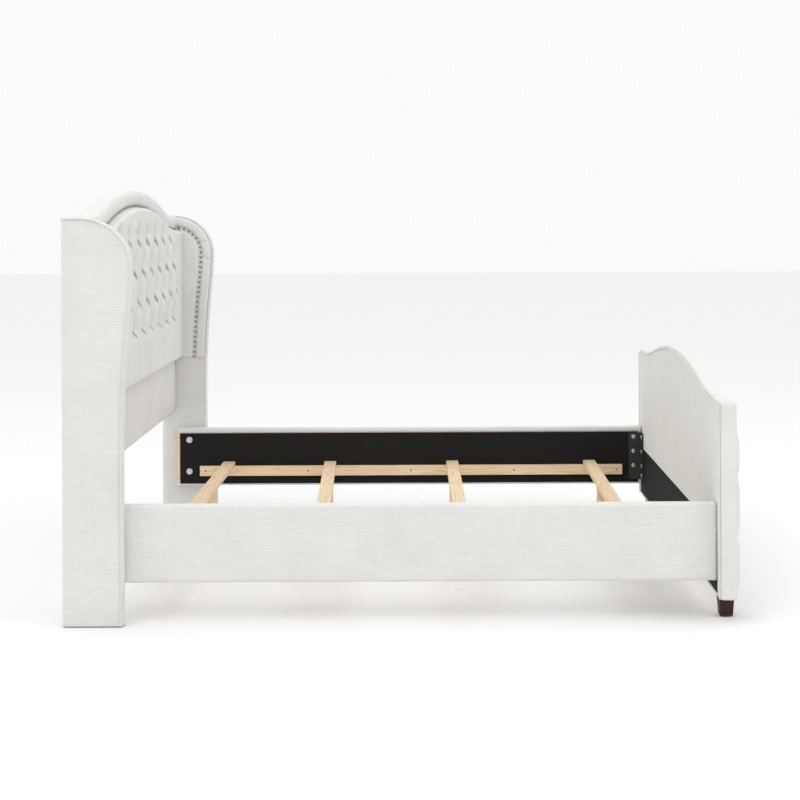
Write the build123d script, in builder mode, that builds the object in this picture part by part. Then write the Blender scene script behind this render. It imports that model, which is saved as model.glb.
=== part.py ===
from build123d import *
import math
import os

os.makedirs("parts", exist_ok=True)

# Upholstered wing bed with a camelback headboard and footboard, in millimetres.
# X runs from the head end to the foot end, Y across the bed and Z up.
# The origin is on the floor under the middle of the bed. The left side is -Y.

# Mattress that the bed is made for, and the room left round it
mattress_length = 2032
mattress_width = 1930
mattress_end_gap = 35
mattress_side_gap = 6

# Fits that every piece shares
seat_gap = 0.3
hole_clearance = 0.5
cut_overrun = 5

# Side rails
rail_board_thickness = 35
rail_foam = 10
rail_lip_thickness = 3
rail_bottom = 132
rail_height = 252
rail_edge_wrap = 5
rail_edge_radius = 7
rail_top_lip = 22
rail_bottom_lip = 8
rail_setback = 11
rail_end_margin = 15

# Ledgers that carry the slats
ledger_thickness = 20
ledger_height = 43
ledger_bottom = 176
ledger_head_inset = 106
ledger_foot_inset = 91
ledger_screw_count = 5
ledger_screw_inset = 25

# Slats and their legs
slat_width = 52
slat_thickness = 19
slat_end_gap = 4
slat_edge_chamfer = 1.5
slat_place_shares = (0.114, 0.347, 0.598, 0.886)
slat_turns = (0, 2.0, 0.7, 0)
leg_offset = 325
leg_depth = 50
leg_screw_spacing = 22
leg_pilot_depth = 20

# Wings
wing_thickness = 56
wing_height = 1324
wing_depth_low = 193
wing_depth_high = 227
wing_top_radius = 167
wing_flare_bottom = 540
wing_flare_share = 0.2
wing_wrap = 10
wing_back_wrap = 6
wing_outer_foam = 8
wing_inner_skin = 3
wing_edge_radius = 5
wing_glide_inset = 36
wing_welt_width = 5
wing_welt_rise = 2
wing_border_inset = 7
wing_border_width = 41
wing_border_rise = 10
wing_panel_rise = 8
wing_pad_radius = 6

# Headboard
headboard_thickness = 57
headboard_crown = 1423
headboard_shoulder = 1322
headboard_bottom = 455
crest_flat = 13
crest_bend_share = 0.63
crest_band_width = 65
crest_padding = 14
crest_roll_rise = 10
crest_roll_chamfer = 8
crest_back_chamfer = 8
nail_bend_share = 0.55
nail_strip_width = 14
back_cover_thickness = 1.5
head_frame_thickness = 30
head_board_thickness = 9
head_frame_width = 45
pad_wrap = 3
pad_seam_height = 690
lower_pad_radius = 6
tufted_pad_rise = 34
tufted_pad_chamfer = 10

# Tufts of the headboard
tuft_pitch = 196
tuft_row_spacing = 115
tuft_top_row_height = 1250
tuft_row_count = 4
tuft_line_count = 7
tuft_groove_width = 52
tuft_groove_depth = 17
pleat_groove_width = 26
pleat_groove_depth = 8
tuft_pit_radius = 28
tuft_pit_depth = 25
tuft_pit_sides = 4
button_radius = 13
button_height = 7
button_sides = 5

# Nailheads
nail_radius = 6.5
nail_height = 4
nail_sides = 5
nail_pitch = 22

# Footboard
foot_cover_thickness = 3
foot_frame_thickness = 40
foot_board_thickness = 6
foot_pad_rise = 19
foot_crown = 809
foot_shoulder = 719
foot_bottom = 81
foot_padding = 12
foot_roll_drop = 10
foot_crest_flat = 75
foot_bend_share = 0.6
foot_border_width = 75
foot_border_base = 4
foot_border_rise = 7
foot_border_radius = 5
foot_roll_radius = 9
foot_post_width = 148
foot_rail_height = 100
foot_lining_thickness = 2
foot_lining_bottom = 92
foot_lining_top = 292
foot_welt_width = 5
foot_welt_rise = 2
foot_pad_radius = 10
foot_tuft_top_row_height = 567
foot_tuft_row_spacing = 102
foot_tuft_row_count = 5
foot_tuft_line_count = 8
foot_groove_width = 34
foot_groove_depth = 10
foot_pit_radius = 24
foot_pit_depth = 13
foot_button_radius = 13
foot_button_height = 5

# Legs of the footboard
foot_leg_top = 52
foot_leg_collar = 6
foot_leg_narrowing = 5
foot_leg_setback = 38
foot_leg_inset = 134
hanger_bolt_radius = 4
hanger_bolt_reach = 42
hanger_bolt_shift = 8

# Glides under everything that stands on the floor
glide_height = 4
glide_radius = 13
glide_sides = 8

# Corner brackets between the rails and the footboard
bracket_thickness = 4
bracket_width = 58
bracket_bottom = 152
bracket_height = 206
bracket_bolt_inset = 37
bracket_bolt_low = 62
bracket_bolt_spacing = 63
bracket_bolt_count = 3
bracket_extra_bolt_low = 20
lag_depth = 30
lag_reach = 32

# Bolts, washers and tee nuts
bolt_radius = 4
bolt_head_radius = 9
bolt_head_height = 5
bolt_sides = 6
wing_bolt_head_radius = 13.5
wing_bolt_head_height = 3.5
bolt_end_gap = 2
bolt_socket_radius = 3
bolt_socket_depth = 2.5
tee_flange_size = 20
tee_flange_thickness = 1.5
tee_barrel_radius = 5.5
tee_barrel_depth = 10
head_bolt_inset = 58
head_bolt_heights = (194, 333)
wing_bolt_count = 3
wing_bolt_low = 560
wing_bolt_spacing = 300

# Wood screws
screw_radius = 2
screw_head_radius = 4
screw_head_depth = 2.2
screw_head_taper = 41
screw_length = 36
screw_pilot_depth = 18
screw_sides = 6
screw_clearance = 0.15

# Places along the bed, from the head end to the foot end
footboard_thickness = (
    foot_cover_thickness + foot_frame_thickness + foot_board_thickness + foot_pad_rise
)
overall_length = (
    headboard_thickness + mattress_length + mattress_end_gap + footboard_thickness
)
head_back = -overall_length / 2
head_face = head_back + headboard_thickness
head_frame_back = head_back + back_cover_thickness
head_board_back = head_frame_back + head_frame_thickness
head_board_front = head_board_back + head_board_thickness
tufted_front = head_face + tufted_pad_rise
foot_face = head_face + mattress_length + mattress_end_gap
foot_frame_back = foot_face + foot_cover_thickness
foot_frame_front = foot_frame_back + foot_frame_thickness
foot_board_front = foot_frame_front + foot_board_thickness
foot_pad_front = foot_board_front + foot_pad_rise
rail_head = head_face + rail_setback
rail_foot = foot_face - foot_lining_thickness
rail_length = rail_foot - rail_head

# Places across the bed, from the middle outward
rail_inner = mattress_width / 2 + mattress_side_gap
rail_board_inner = rail_inner + rail_lip_thickness
rail_board_outer = rail_board_inner + rail_board_thickness
rail_outer = rail_board_outer + rail_foam
wing_outer = rail_outer + wing_thickness
wing_face_outer = wing_outer - wing_welt_rise
wing_core_inner = rail_outer + wing_inner_skin
wing_core_outer = wing_face_outer - wing_outer_foam
panel_half = rail_outer - seat_gap
board_half = panel_half - pad_wrap
crest_reach = rail_outer - crest_flat
ledger_inner = rail_inner - ledger_thickness
foot_half = wing_outer
foot_board_half = foot_half - foot_padding

# Heights
rail_top = rail_bottom + rail_height
ledger_top = ledger_bottom + ledger_height
slat_top = ledger_top + slat_thickness


def save(piece, name):
    """Label a finished piece and write it as a STEP file."""
    piece.part.label = name
    export_step(piece.part, f"parts/{name}.step")


def save_pair(piece, name):
    """Write a right-hand piece and its mirror image for the left side."""
    save(piece, f"{name}_right")
    left = mirror(piece.part, about=Plane.XZ)
    left.label = f"{name}_left"
    export_step(left, f"parts/{name}_left.step")


def across(y):
    """A plane that faces the middle of the bed, at y on the right-hand side."""
    return Plane.XZ.offset(-y)


def along(x):
    """A plane that faces the foot end, at x."""
    return Plane.YZ.offset(x)


def ogee(rise, reach, share):
    """Turn and the two radii of a tangent S curve, the first radius over share of its reach."""
    turn = 2 * math.atan(rise / reach)
    first = share * reach / math.sin(turn)
    second = (1 - share) * reach / math.sin(turn)
    return math.degrees(turn), first, second


def crest_line(crown, shoulder, reach, share):
    """Camelback line of three tangent arcs, from the left shoulder to the right one."""
    turn, top_radius, side_radius = ogee(crown - shoulder, reach, share)
    left = JernArc((-reach, shoulder), (1, 0), side_radius, turn)
    top = JernArc(left @ 1, left % 1, top_radius, -2 * turn)
    right = JernArc(top @ 1, top % 1, side_radius, turn)
    return left, right


def crest_face(crown, shoulder, reach, share, half_width, bottom, mode):
    """Panel face with a camelback top and square lower corners."""
    with BuildLine() as outline:
        left, right = crest_line(crown, shoulder, reach, share)
        Polyline(
            right @ 1,
            (half_width, shoulder),
            (half_width, bottom),
            (-half_width, bottom),
            (-half_width, shoulder),
            left @ 0,
        )
    make_face(outline.edges(), mode=mode)


def head_crest(drop, half_width, bottom, mode=Mode.ADD):
    """Headboard face whose top lies drop below the crest."""
    crown = headboard_crown - drop
    shoulder = headboard_shoulder - drop
    crest_face(crown, shoulder, crest_reach, crest_bend_share, half_width, bottom, mode)


def head_nail_crest(lift, half_width, bottom, mode=Mode.ADD):
    """Headboard face whose top lies lift above the lower edge of the crest band."""
    crown = headboard_crown - crest_band_width + lift
    shoulder = headboard_shoulder - crest_band_width + lift
    crest_face(crown, shoulder, crest_reach, nail_bend_share, half_width, bottom, mode)


def foot_crest(inset, bottom, mode=Mode.ADD):
    """Footboard face that lies inset inside the padded outline."""
    reach = foot_half - foot_crest_flat - inset
    crown = foot_crown - inset
    shoulder = foot_shoulder - inset
    crest_face(crown, shoulder, reach, foot_bend_share, foot_half - inset, bottom, mode)


def wing_front(inset):
    """Front and top line of a wing, inset inside its outline, from the floor to the back."""
    low = head_back + wing_depth_low - inset
    flare_reach = wing_height - wing_top_radius - wing_flare_bottom
    turn, upper, lower = ogee(wing_depth_high - wing_depth_low, flare_reach, wing_flare_share)
    straight = Line((low, 0), (low, wing_flare_bottom))
    flare_out = JernArc(straight @ 1, (0, 1), lower, -turn)
    flare_back = JernArc(flare_out @ 1, flare_out % 1, upper, turn)
    over = JernArc(flare_back @ 1, (0, 1), wing_top_radius - inset, 90)
    level = Line(over @ 1, (head_back, wing_height - inset))
    return straight, level


def wing_outline(inset, mode=Mode.ADD):
    """Whole side face of a wing, inset inside its front and top."""
    with BuildLine() as outline:
        straight, level = wing_front(inset)
        Polyline(level @ 1, (head_back, 0), straight @ 0)
    make_face(outline.edges(), mode=mode)


def wing_face(inset, back, bottom):
    """Side face of a wing, kept in front of back and above bottom."""
    wing_outline(inset)
    with Locations((back, bottom)):
        Rectangle(wing_depth_high, wing_height, align=(Align.MIN, Align.MIN), mode=Mode.INTERSECT)


def middle_height(edge):
    """Height of the middle of an edge."""
    return (edge @ 0.5).Z


def spaced(wire, pitch):
    """Points at an even pitch along a wire, half a pitch in from its ends."""
    count = int(wire.length / pitch)
    return [wire.position_at((i + 1 / 2) / count) for i in range(count)]


def drill(plane, places, radius, depth):
    """Six-sided bolt holes of one depth, at places on a plane."""
    with BuildSketch(plane) as holes:
        with Locations(*places):
            RegularPolygon(radius, bolt_sides)
    extrude(holes.sketch, amount=depth, mode=Mode.SUBTRACT)


def pilot_holes(plane, places, depth):
    """Six-sided holes for the shanks of wood screws, at places on a plane."""
    with BuildSketch(plane) as holes:
        with Locations(*places):
            RegularPolygon(pilot_radius, screw_sides)
    extrude(holes.sketch, amount=depth, mode=Mode.SUBTRACT)


def sink(plane, places, depth):
    """Countersunk holes for wood screws, whose mouths lie on a plane."""
    pilot_holes(plane, places, -depth)
    with BuildSketch(plane) as mouths:
        with Locations(*places):
            RegularPolygon(screw_head_radius + screw_clearance, screw_sides)
    extrude(mouths.sketch, amount=-screw_head_depth, taper=screw_head_taper, mode=Mode.SUBTRACT)


def studs(plane, places, radius, sides, height, taper=0):
    """Small many-sided studs that stand on a plane."""
    with BuildSketch(plane) as feet:
        with Locations(*places):
            RegularPolygon(radius, sides)
    extrude(feet.sketch, amount=height, taper=taper)


def tee_nuts(plane, places):
    """Tee nuts whose flanges start on a plane and whose barrels go the same way."""
    with BuildSketch(plane) as flanges:
        with Locations(*places):
            Rectangle(tee_flange_size, tee_flange_size)
    extrude(flanges.sketch, amount=tee_flange_thickness)
    studs(plane, places, tee_barrel_radius, bolt_sides, tee_barrel_depth)
    drill(plane, places, bolt_radius, tee_barrel_depth)


def tee_pockets(plane, places):
    """Pockets for the flanges and barrels of tee nuts."""
    with BuildSketch(plane) as flanges:
        with Locations(*places):
            Rectangle(tee_flange_size + seat_gap, tee_flange_size + seat_gap)
    extrude(flanges.sketch, amount=tee_flange_thickness, mode=Mode.SUBTRACT)
    drill(plane, places, tee_barrel_radius + seat_gap, tee_barrel_depth)


def bolts(plane, places, head_radius, head_height, reach):
    """Bolts whose heads stand on a plane and whose shanks go into it."""
    studs(plane, places, head_radius, bolt_sides, head_height)
    studs(plane, places, bolt_radius - seat_gap, bolt_sides, -reach)
    with BuildSketch(plane.offset(head_height)) as sockets:
        with Locations(*places):
            RegularPolygon(bolt_socket_radius, screw_sides)
    extrude(sockets.sketch, amount=-bolt_socket_depth, mode=Mode.SUBTRACT)


# Places of the fasteners, as seen on the faces that they go through
head_bolt_places = [(rail_head + head_bolt_inset, z) for z in head_bolt_heights]
wing_bolt_x = head_frame_back + head_frame_thickness / 2
wing_bolt_places = [
    (wing_bolt_x, wing_bolt_low + wing_bolt_spacing * i) for i in range(wing_bolt_count)
]
bracket_bolt_zs = [
    bracket_bottom + bracket_bolt_low + bracket_bolt_spacing * i for i in range(bracket_bolt_count)
]
bracket_rail_places = [(rail_foot - bracket_bolt_inset, z) for z in bracket_bolt_zs]
bracket_foot_zs = [bracket_bottom + bracket_extra_bolt_low] + bracket_bolt_zs
bracket_foot_y = rail_inner - bracket_bolt_inset
bracket_foot_places = [(bracket_foot_y, z) for z in bracket_foot_zs]
both_foot_places = bracket_foot_places + [(-y, z) for y, z in bracket_foot_places]
wing_all_bolts = head_bolt_places + wing_bolt_places
hole_radius = bolt_radius + hole_clearance

ledger_head = rail_head + ledger_head_inset
ledger_foot = foot_face - ledger_foot_inset
ledger_length = ledger_foot - ledger_head
ledger_screw_pitch = (ledger_length - 2 * ledger_screw_inset) / (ledger_screw_count - 1)
ledger_screw_places = [
    (ledger_head + ledger_screw_inset + ledger_screw_pitch * i, ledger_bottom + ledger_height / 2)
    for i in range(ledger_screw_count)
]
pilot_radius = screw_radius + screw_clearance

hanger_x = foot_face + foot_leg_setback - hanger_bolt_shift
hanger_y = foot_half - foot_leg_inset
leg_center_x = foot_face + foot_leg_setback


# Headboard frame: plywood board, two stiles, an arched crest rail and a bottom rail
with BuildPart() as head_board:
    with BuildSketch(along(head_board_back)):
        head_crest(crest_padding, board_half, headboard_bottom + pad_wrap)
    extrude(amount=head_board_thickness)
save(head_board, "headboard_board")

crest_rail_drop = crest_padding + head_frame_width
stile_inner = board_half - head_frame_width
with BuildPart() as crest_rail:
    with BuildSketch(along(head_frame_back)):
        head_crest(crest_padding, board_half, headboard_shoulder - crest_rail_drop)
        head_crest(crest_rail_drop, board_half + cut_overrun, headboard_bottom, Mode.SUBTRACT)
    extrude(amount=head_frame_thickness)
save(crest_rail, "headboard_crest_rail")

with BuildPart() as stile:
    with BuildSketch(across(board_half)):
        with Locations((head_frame_back, headboard_bottom + pad_wrap)):
            stile_length = headboard_shoulder - crest_rail_drop - headboard_bottom - pad_wrap
            Rectangle(head_frame_thickness, stile_length, align=(Align.MIN, Align.MIN))
    extrude(amount=head_frame_width)
    drill(across(board_half + cut_overrun), wing_bolt_places, hole_radius, head_frame_width + 2 * cut_overrun)
save_pair(stile, "headboard_stile")

with BuildPart() as head_bottom_rail:
    with BuildSketch(along(head_frame_back)):
        with Locations((0, headboard_bottom + pad_wrap)):
            Rectangle(2 * stile_inner, head_frame_width, align=(Align.CENTER, Align.MIN))
    extrude(amount=head_frame_thickness)
save(head_bottom_rail, "headboard_bottom_rail")

# Headboard cloth at the back, from edge to edge
with BuildPart() as back_cover:
    with BuildSketch(along(head_back)):
        head_crest(crest_padding, board_half, headboard_bottom)
    extrude(amount=back_cover_thickness)
save(back_cover, "headboard_back_cover")

# Padded crest band: it wraps the top of the board and ends at the nail strip
with BuildPart() as crest_band:
    with BuildSketch(along(head_back)):
        head_crest(0, panel_half, headboard_shoulder - crest_band_width)
        head_crest(crest_padding - seat_gap, panel_half + cut_overrun, headboard_bottom, Mode.SUBTRACT)
    extrude(amount=head_board_front - head_back)
    with BuildSketch(along(head_board_front)):
        head_crest(0, panel_half, headboard_shoulder - crest_band_width)
        head_nail_crest(0, panel_half + cut_overrun, headboard_bottom, Mode.SUBTRACT)
    extrude(amount=head_face - head_board_front)
    with BuildSketch(along(head_face)):
        head_crest(0, panel_half, headboard_shoulder - crest_band_width)
        head_nail_crest(nail_strip_width, panel_half + cut_overrun, headboard_bottom, Mode.SUBTRACT)
    extrude(amount=crest_roll_rise)
    front_edges = crest_band.edges().group_by(Axis.X)[-1]
    chamfer(front_edges.sort_by(middle_height)[-2:], crest_roll_chamfer)
    back_edges = crest_band.edges().group_by(Axis.X)[0]
    chamfer(back_edges.sort_by(middle_height)[-1], crest_back_chamfer)
save(crest_band, "headboard_crest_band")


def groove_family(front, top, width, depth, starts, run, drop):
    """V grooves that start side by side at one height and run down and across together."""
    length = math.hypot(run, drop)
    mouth = width / 2 * (1 + cut_overrun / depth)
    with BuildSketch(Plane.XY.offset(top)) as sections:
        for y in starts:
            with BuildLine():
                Polyline(
                    (front - depth, y),
                    (front + cut_overrun, y - mouth),
                    (front + cut_overrun, y + mouth),
                    close=True,
                )
            make_face()
    way = (0, run / length, -drop / length)
    extrude(sections.sketch, amount=length, dir=way, mode=Mode.SUBTRACT)


def tuft_places(top_row, spacing, rows, reach, first_moved):
    """Places of the tufts, row by row, with every other row moved by half a pitch."""
    places = []
    for row in range(rows):
        halves = range(-2 * tuft_line_count, 2 * tuft_line_count + 1)
        wanted = 1 if (row + first_moved) % 2 else 0
        for half in halves:
            y = half * tuft_pitch / 2
            if half % 2 == wanted and abs(y) < reach:
                places.append((y, top_row - spacing * row))
    return places


# Tufted pad of the headboard: a crowned pad with diamond grooves, pits and pleats
tuft_reach = panel_half - tuft_pitch / 2
nail_turn, nail_top_radius, nail_side_radius = ogee(
    headboard_crown - headboard_shoulder, crest_reach, nail_bend_share
)


def nail_drop(y):
    """How far the nail line lies below its crown at y."""
    y = min(abs(y), crest_reach)
    if y <= nail_bend_share * crest_reach:
        return nail_top_radius - math.sqrt(nail_top_radius ** 2 - y ** 2)
    rest = crest_reach - y
    rise = nail_side_radius - math.sqrt(nail_side_radius ** 2 - rest ** 2)
    return headboard_crown - headboard_shoulder - rise


head_tufts = [
    (y, z)
    for y, z in tuft_places(
        tuft_top_row_height, tuft_row_spacing, tuft_row_count, tuft_reach, 1
    )
    if z < headboard_crown - crest_band_width - nail_drop(y) - tuft_pit_radius
]
groove_starts = [tuft_pitch * (i + 1 / 2) for i in range(-tuft_line_count, tuft_line_count)]
groove_drop = tuft_row_spacing * (tuft_row_count - 1)
groove_run = tuft_pitch / 2 * (tuft_row_count - 1)
last_row_height = tuft_top_row_height - groove_drop

with BuildPart() as tufted_pad:
    with BuildSketch(along(head_board_front)):
        head_nail_crest(-seat_gap, panel_half, pad_seam_height)
    extrude(amount=tufted_front - head_board_front)
    chamfer(tufted_pad.faces().sort_by(Axis.X)[-1].edges(), tufted_pad_chamfer)
    for direction in (-1, 1):
        groove_family(
            tufted_front, tuft_top_row_height, tuft_groove_width, tuft_groove_depth,
            groove_starts, direction * groove_run, groove_drop
        )
    top_pleats = [y for y, z in head_tufts if z == tuft_top_row_height]
    groove_family(
        tufted_front, headboard_crown, pleat_groove_width, pleat_groove_depth,
        top_pleats, 0, headboard_crown - tuft_top_row_height
    )
    low_pleats = [y for y, z in head_tufts if z == last_row_height]
    groove_family(
        tufted_front, last_row_height, pleat_groove_width, pleat_groove_depth,
        low_pleats, 0, last_row_height - pad_seam_height + cut_overrun
    )
    with BuildSketch(along(tufted_front)):
        with Locations(*head_tufts):
            RegularPolygon(tuft_pit_radius, tuft_pit_sides)
    extrude(amount=-tuft_pit_depth, mode=Mode.SUBTRACT)
save(tufted_pad, "headboard_tufted_pad")

# Plain pad of the headboard below the seam, wrapped under the board
with BuildPart() as lower_pad:
    with BuildSketch(along(head_board_front)):
        with Locations((0, headboard_bottom)):
            pad_height = pad_seam_height - seat_gap - headboard_bottom
            Rectangle(2 * panel_half, pad_height, align=(Align.CENTER, Align.MIN))
    extrude(amount=head_face - head_board_front)
    with BuildSketch(along(head_frame_back)):
        with Locations((0, headboard_bottom)):
            Rectangle(2 * board_half, pad_wrap, align=(Align.CENTER, Align.MIN))
    extrude(amount=head_board_front - head_frame_back)
    fillet(lower_pad.edges().filter_by(Axis.Y).group_by(Axis.X)[-1].sort_by(Axis.Z)[0], lower_pad_radius)
save(lower_pad, "headboard_lower_pad")


# Line of the nailheads along the crest band
nail_lift = nail_strip_width / 2
with BuildLine() as head_nail_line:
    nail_low = crest_band_width - nail_lift
    crest_line(headboard_crown - nail_low, headboard_shoulder - nail_low, crest_reach, nail_bend_share)
head_nail_places = [(p.X, p.Y) for p in spaced(head_nail_line.wires()[0], nail_pitch)]


# Wing core: a thick plywood board with the outline of the wing
with BuildPart() as wing_core:
    with BuildSketch(across(wing_core_outer)):
        wing_face(wing_wrap + seat_gap, head_back + wing_back_wrap, glide_height)
    extrude(amount=wing_core_outer - wing_core_inner)
    wing_bolt_plane = across(wing_core_outer)
    core_depth = wing_core_outer - wing_core_inner + cut_overrun
    drill(wing_bolt_plane, wing_all_bolts, hole_radius, core_depth)
    tee_pockets(wing_bolt_plane, wing_all_bolts)
save_pair(wing_core, "wing_core")

# Wing cover: padded cloth round the core, open at the floor
with BuildPart() as wing_cover:
    with BuildSketch(across(wing_face_outer)):
        wing_face(0, head_back, glide_height)
    extrude(amount=wing_face_outer - rail_outer)
    outer_edges = wing_cover.faces().sort_by(Axis.Y)[-1].edges()
    chamfer(outer_edges.sort_by(Axis.Z)[1:], wing_edge_radius)
    with BuildSketch(across(wing_core_outer)):
        wing_face(wing_wrap, head_back + wing_back_wrap, 0)
    extrude(amount=wing_core_outer - wing_core_inner, mode=Mode.SUBTRACT)
    skin_plane = across(wing_core_inner + cut_overrun)
    drill(skin_plane, wing_all_bolts, hole_radius, wing_inner_skin + 2 * cut_overrun)
save_pair(wing_cover, "wing_cover")

# Padded border on the inside of the wing, and the inset panel behind the nails
border_back = head_face + crest_roll_rise + seat_gap
with BuildPart() as wing_border:
    with BuildSketch(across(rail_outer)):
        wing_face(wing_border_inset, border_back, pad_seam_height)
        wing_outline(wing_border_inset + wing_border_width, Mode.SUBTRACT)
    extrude(amount=wing_border_rise)
    chamfer(wing_border.faces().sort_by(Axis.Y)[0].edges(), wing_pad_radius)
save_pair(wing_border, "wing_border_pad")

wing_panel_inset = wing_border_inset + wing_border_width + nail_strip_width
with BuildPart() as wing_panel:
    with BuildSketch(across(rail_outer)):
        wing_face(wing_panel_inset, tufted_front + seat_gap, pad_seam_height)
    extrude(amount=wing_panel_rise)
    chamfer(wing_panel.faces().sort_by(Axis.Y)[0].edges(), wing_pad_radius)
save_pair(wing_panel, "wing_inner_panel")

# Piping along both front corners of the wing; the rail interrupts the inner one
with BuildPart() as wing_welt:
    with BuildSketch(across(wing_outer)):
        wing_face(wing_edge_radius, head_back, glide_height)
        wing_outline(wing_edge_radius + wing_welt_width, Mode.SUBTRACT)
    extrude(amount=wing_welt_rise)
    with BuildSketch(across(rail_outer)):
        wing_face(0, border_back, glide_height)
        wing_outline(wing_welt_width, Mode.SUBTRACT)
        with Locations((head_back, rail_bottom - seat_gap)):
            Rectangle(
                wing_depth_high + cut_overrun, rail_height + 2 * seat_gap,
                align=(Align.MIN, Align.MIN), mode=Mode.SUBTRACT
            )
    extrude(amount=wing_welt_rise)
save_pair(wing_welt, "wing_welt")

# Line of the nailheads between the border and the inset panel of a wing
wing_nail_inset = wing_border_inset + wing_border_width + nail_strip_width / 2
with BuildLine() as wing_nail_line:
    wing_front(wing_nail_inset)
wing_nail_wire = wing_nail_line.wires()[0]
wing_nail_places = [
    (p.X, p.Y)
    for p in spaced(wing_nail_wire, nail_pitch)
    if p.Y > pad_seam_height and p.X > border_back + nail_radius
]


# Rail board with its bolt and screw holes
rail_hole_depth = rail_board_thickness + 2 * cut_overrun
with BuildPart() as rail_board:
    with BuildSketch(along(rail_head + rail_lip_thickness)):
        with Locations((rail_board_inner, rail_bottom + rail_edge_wrap)):
            Rectangle(
                rail_board_thickness, rail_height - 2 * rail_edge_wrap, align=(Align.MIN, Align.MIN)
            )
    extrude(amount=rail_length - 2 * rail_lip_thickness)
    board_plane = across(rail_board_outer + cut_overrun)
    drill(board_plane, head_bolt_places, hole_radius, rail_hole_depth)
    lag_plane = across(rail_board_inner)
    drill(lag_plane, bracket_rail_places, bolt_radius, -lag_depth)
    pilot_plane = across(rail_board_inner + screw_pilot_depth)
    pilot_holes(pilot_plane, ledger_screw_places, screw_pilot_depth + cut_overrun)
save_pair(rail_board, "rail_board")

# Rail cover: padded cloth over the outside, the edges and the lips inside
with BuildPart() as rail_cover:
    with BuildSketch(along(rail_head)):
        with Locations((rail_inner, rail_bottom)):
            Rectangle(rail_outer - rail_inner - seat_gap, rail_height, align=(Align.MIN, Align.MIN))
    extrude(amount=rail_length)
    outer_face = rail_cover.faces().sort_by(Axis.Y)[-1]
    fillet(outer_face.edges().filter_by(Axis.X), rail_edge_radius)
    inner_face = rail_cover.faces().sort_by(Axis.Y)[0]
    fillet(inner_face.edges().sort_by(Axis.Z)[-1], rail_lip_thickness)
    with BuildSketch(along(rail_head + rail_lip_thickness)):
        with Locations((rail_board_inner, rail_bottom + rail_edge_wrap)):
            Rectangle(
                rail_board_thickness, rail_height - 2 * rail_edge_wrap, align=(Align.MIN, Align.MIN)
            )
    extrude(amount=rail_length - 2 * rail_lip_thickness, mode=Mode.SUBTRACT)
    with BuildSketch(across(rail_board_inner)):
        with Locations((rail_head + rail_end_margin, rail_bottom + rail_bottom_lip)):
            Rectangle(
                rail_length - 2 * rail_end_margin, rail_height - rail_top_lip - rail_bottom_lip,
                align=(Align.MIN, Align.MIN)
            )
    extrude(amount=rail_lip_thickness + cut_overrun, mode=Mode.SUBTRACT)
    drill(across(rail_outer + cut_overrun), head_bolt_places, hole_radius, rail_foam + 2 * cut_overrun)
save_pair(rail_cover, "rail_cover")

# Black lining of the rail, in the window that the cover leaves
with BuildPart() as rail_lining:
    with BuildSketch(across(rail_board_inner)):
        with Locations((rail_head + rail_end_margin, rail_bottom + rail_bottom_lip)):
            Rectangle(
                rail_length - 2 * rail_end_margin, rail_height - rail_top_lip - rail_bottom_lip,
                align=(Align.MIN, Align.MIN)
            )
    extrude(amount=rail_lip_thickness)
    lining_plane = across(rail_board_inner + cut_overrun)
    lining_depth = rail_lip_thickness + 2 * cut_overrun
    drill(lining_plane, head_bolt_places + bracket_rail_places, hole_radius, lining_depth)
    pilot_holes(lining_plane, ledger_screw_places, lining_depth)
save_pair(rail_lining, "rail_lining")

# Ledger: a pine cleat screwed to the inside of the rail
with BuildPart() as ledger:
    with BuildSketch(across(rail_inner)):
        with Locations((ledger_head, ledger_bottom)):
            Rectangle(ledger_length, ledger_height, align=(Align.MIN, Align.MIN))
    extrude(amount=ledger_thickness)
    chamfer(ledger.edges().filter_by(Axis.X), slat_edge_chamfer)
    sink(across(ledger_inner), ledger_screw_places, ledger_thickness + cut_overrun)
save_pair(ledger, "rail_ledger")

# Steel corner bracket between rail and footboard
with BuildPart() as bracket:
    with BuildSketch(Plane.XY.offset(bracket_bottom)):
        with Locations((rail_foot, rail_inner)):
            Rectangle(bracket_width, bracket_thickness, align=(Align.MAX, Align.MAX))
            Rectangle(bracket_thickness, bracket_width, align=(Align.MAX, Align.MAX))
    extrude(amount=bracket_height)
    bend = bracket.edges().filter_by(Axis.Z).sort_by_distance((rail_foot, rail_inner, 0))
    fillet(bend[0], bracket_thickness - seat_gap)
    drill(
        across(rail_inner + cut_overrun), bracket_rail_places, hole_radius,
        bracket_thickness + 2 * cut_overrun
    )
    drill(
        along(rail_foot + cut_overrun), bracket_foot_places, hole_radius,
        -bracket_thickness - 2 * cut_overrun
    )
save_pair(bracket, "foot_bracket")


# Footboard frame: plywood board, two wide posts and a bottom rail
with BuildPart() as foot_board:
    with BuildSketch(along(foot_frame_front)):
        foot_crest(foot_padding, foot_bottom)
    extrude(amount=foot_board_thickness)
save(foot_board, "footboard_board")

post_top = foot_shoulder - foot_padding
with BuildPart() as foot_post:
    with BuildSketch(along(foot_frame_back)):
        with Locations((foot_board_half, foot_bottom)):
            Rectangle(foot_post_width, post_top - foot_bottom, align=(Align.MAX, Align.MIN))
    extrude(amount=foot_frame_thickness)
    drill(along(foot_frame_back), bracket_foot_places, bolt_radius, lag_depth)
    drill(
        Plane.XY.offset(foot_bottom), [(hanger_x, hanger_y)],
        hanger_bolt_radius + hole_clearance, hanger_bolt_reach + cut_overrun
    )
save_pair(foot_post, "footboard_post")

with BuildPart() as foot_bottom_rail:
    with BuildSketch(along(foot_frame_back)):
        with Locations((0, foot_bottom)):
            rail_span = 2 * (foot_board_half - foot_post_width)
            Rectangle(rail_span, foot_rail_height, align=(Align.CENTER, Align.MIN))
    extrude(amount=foot_frame_thickness)
save(foot_bottom_rail, "footboard_bottom_rail")

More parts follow.
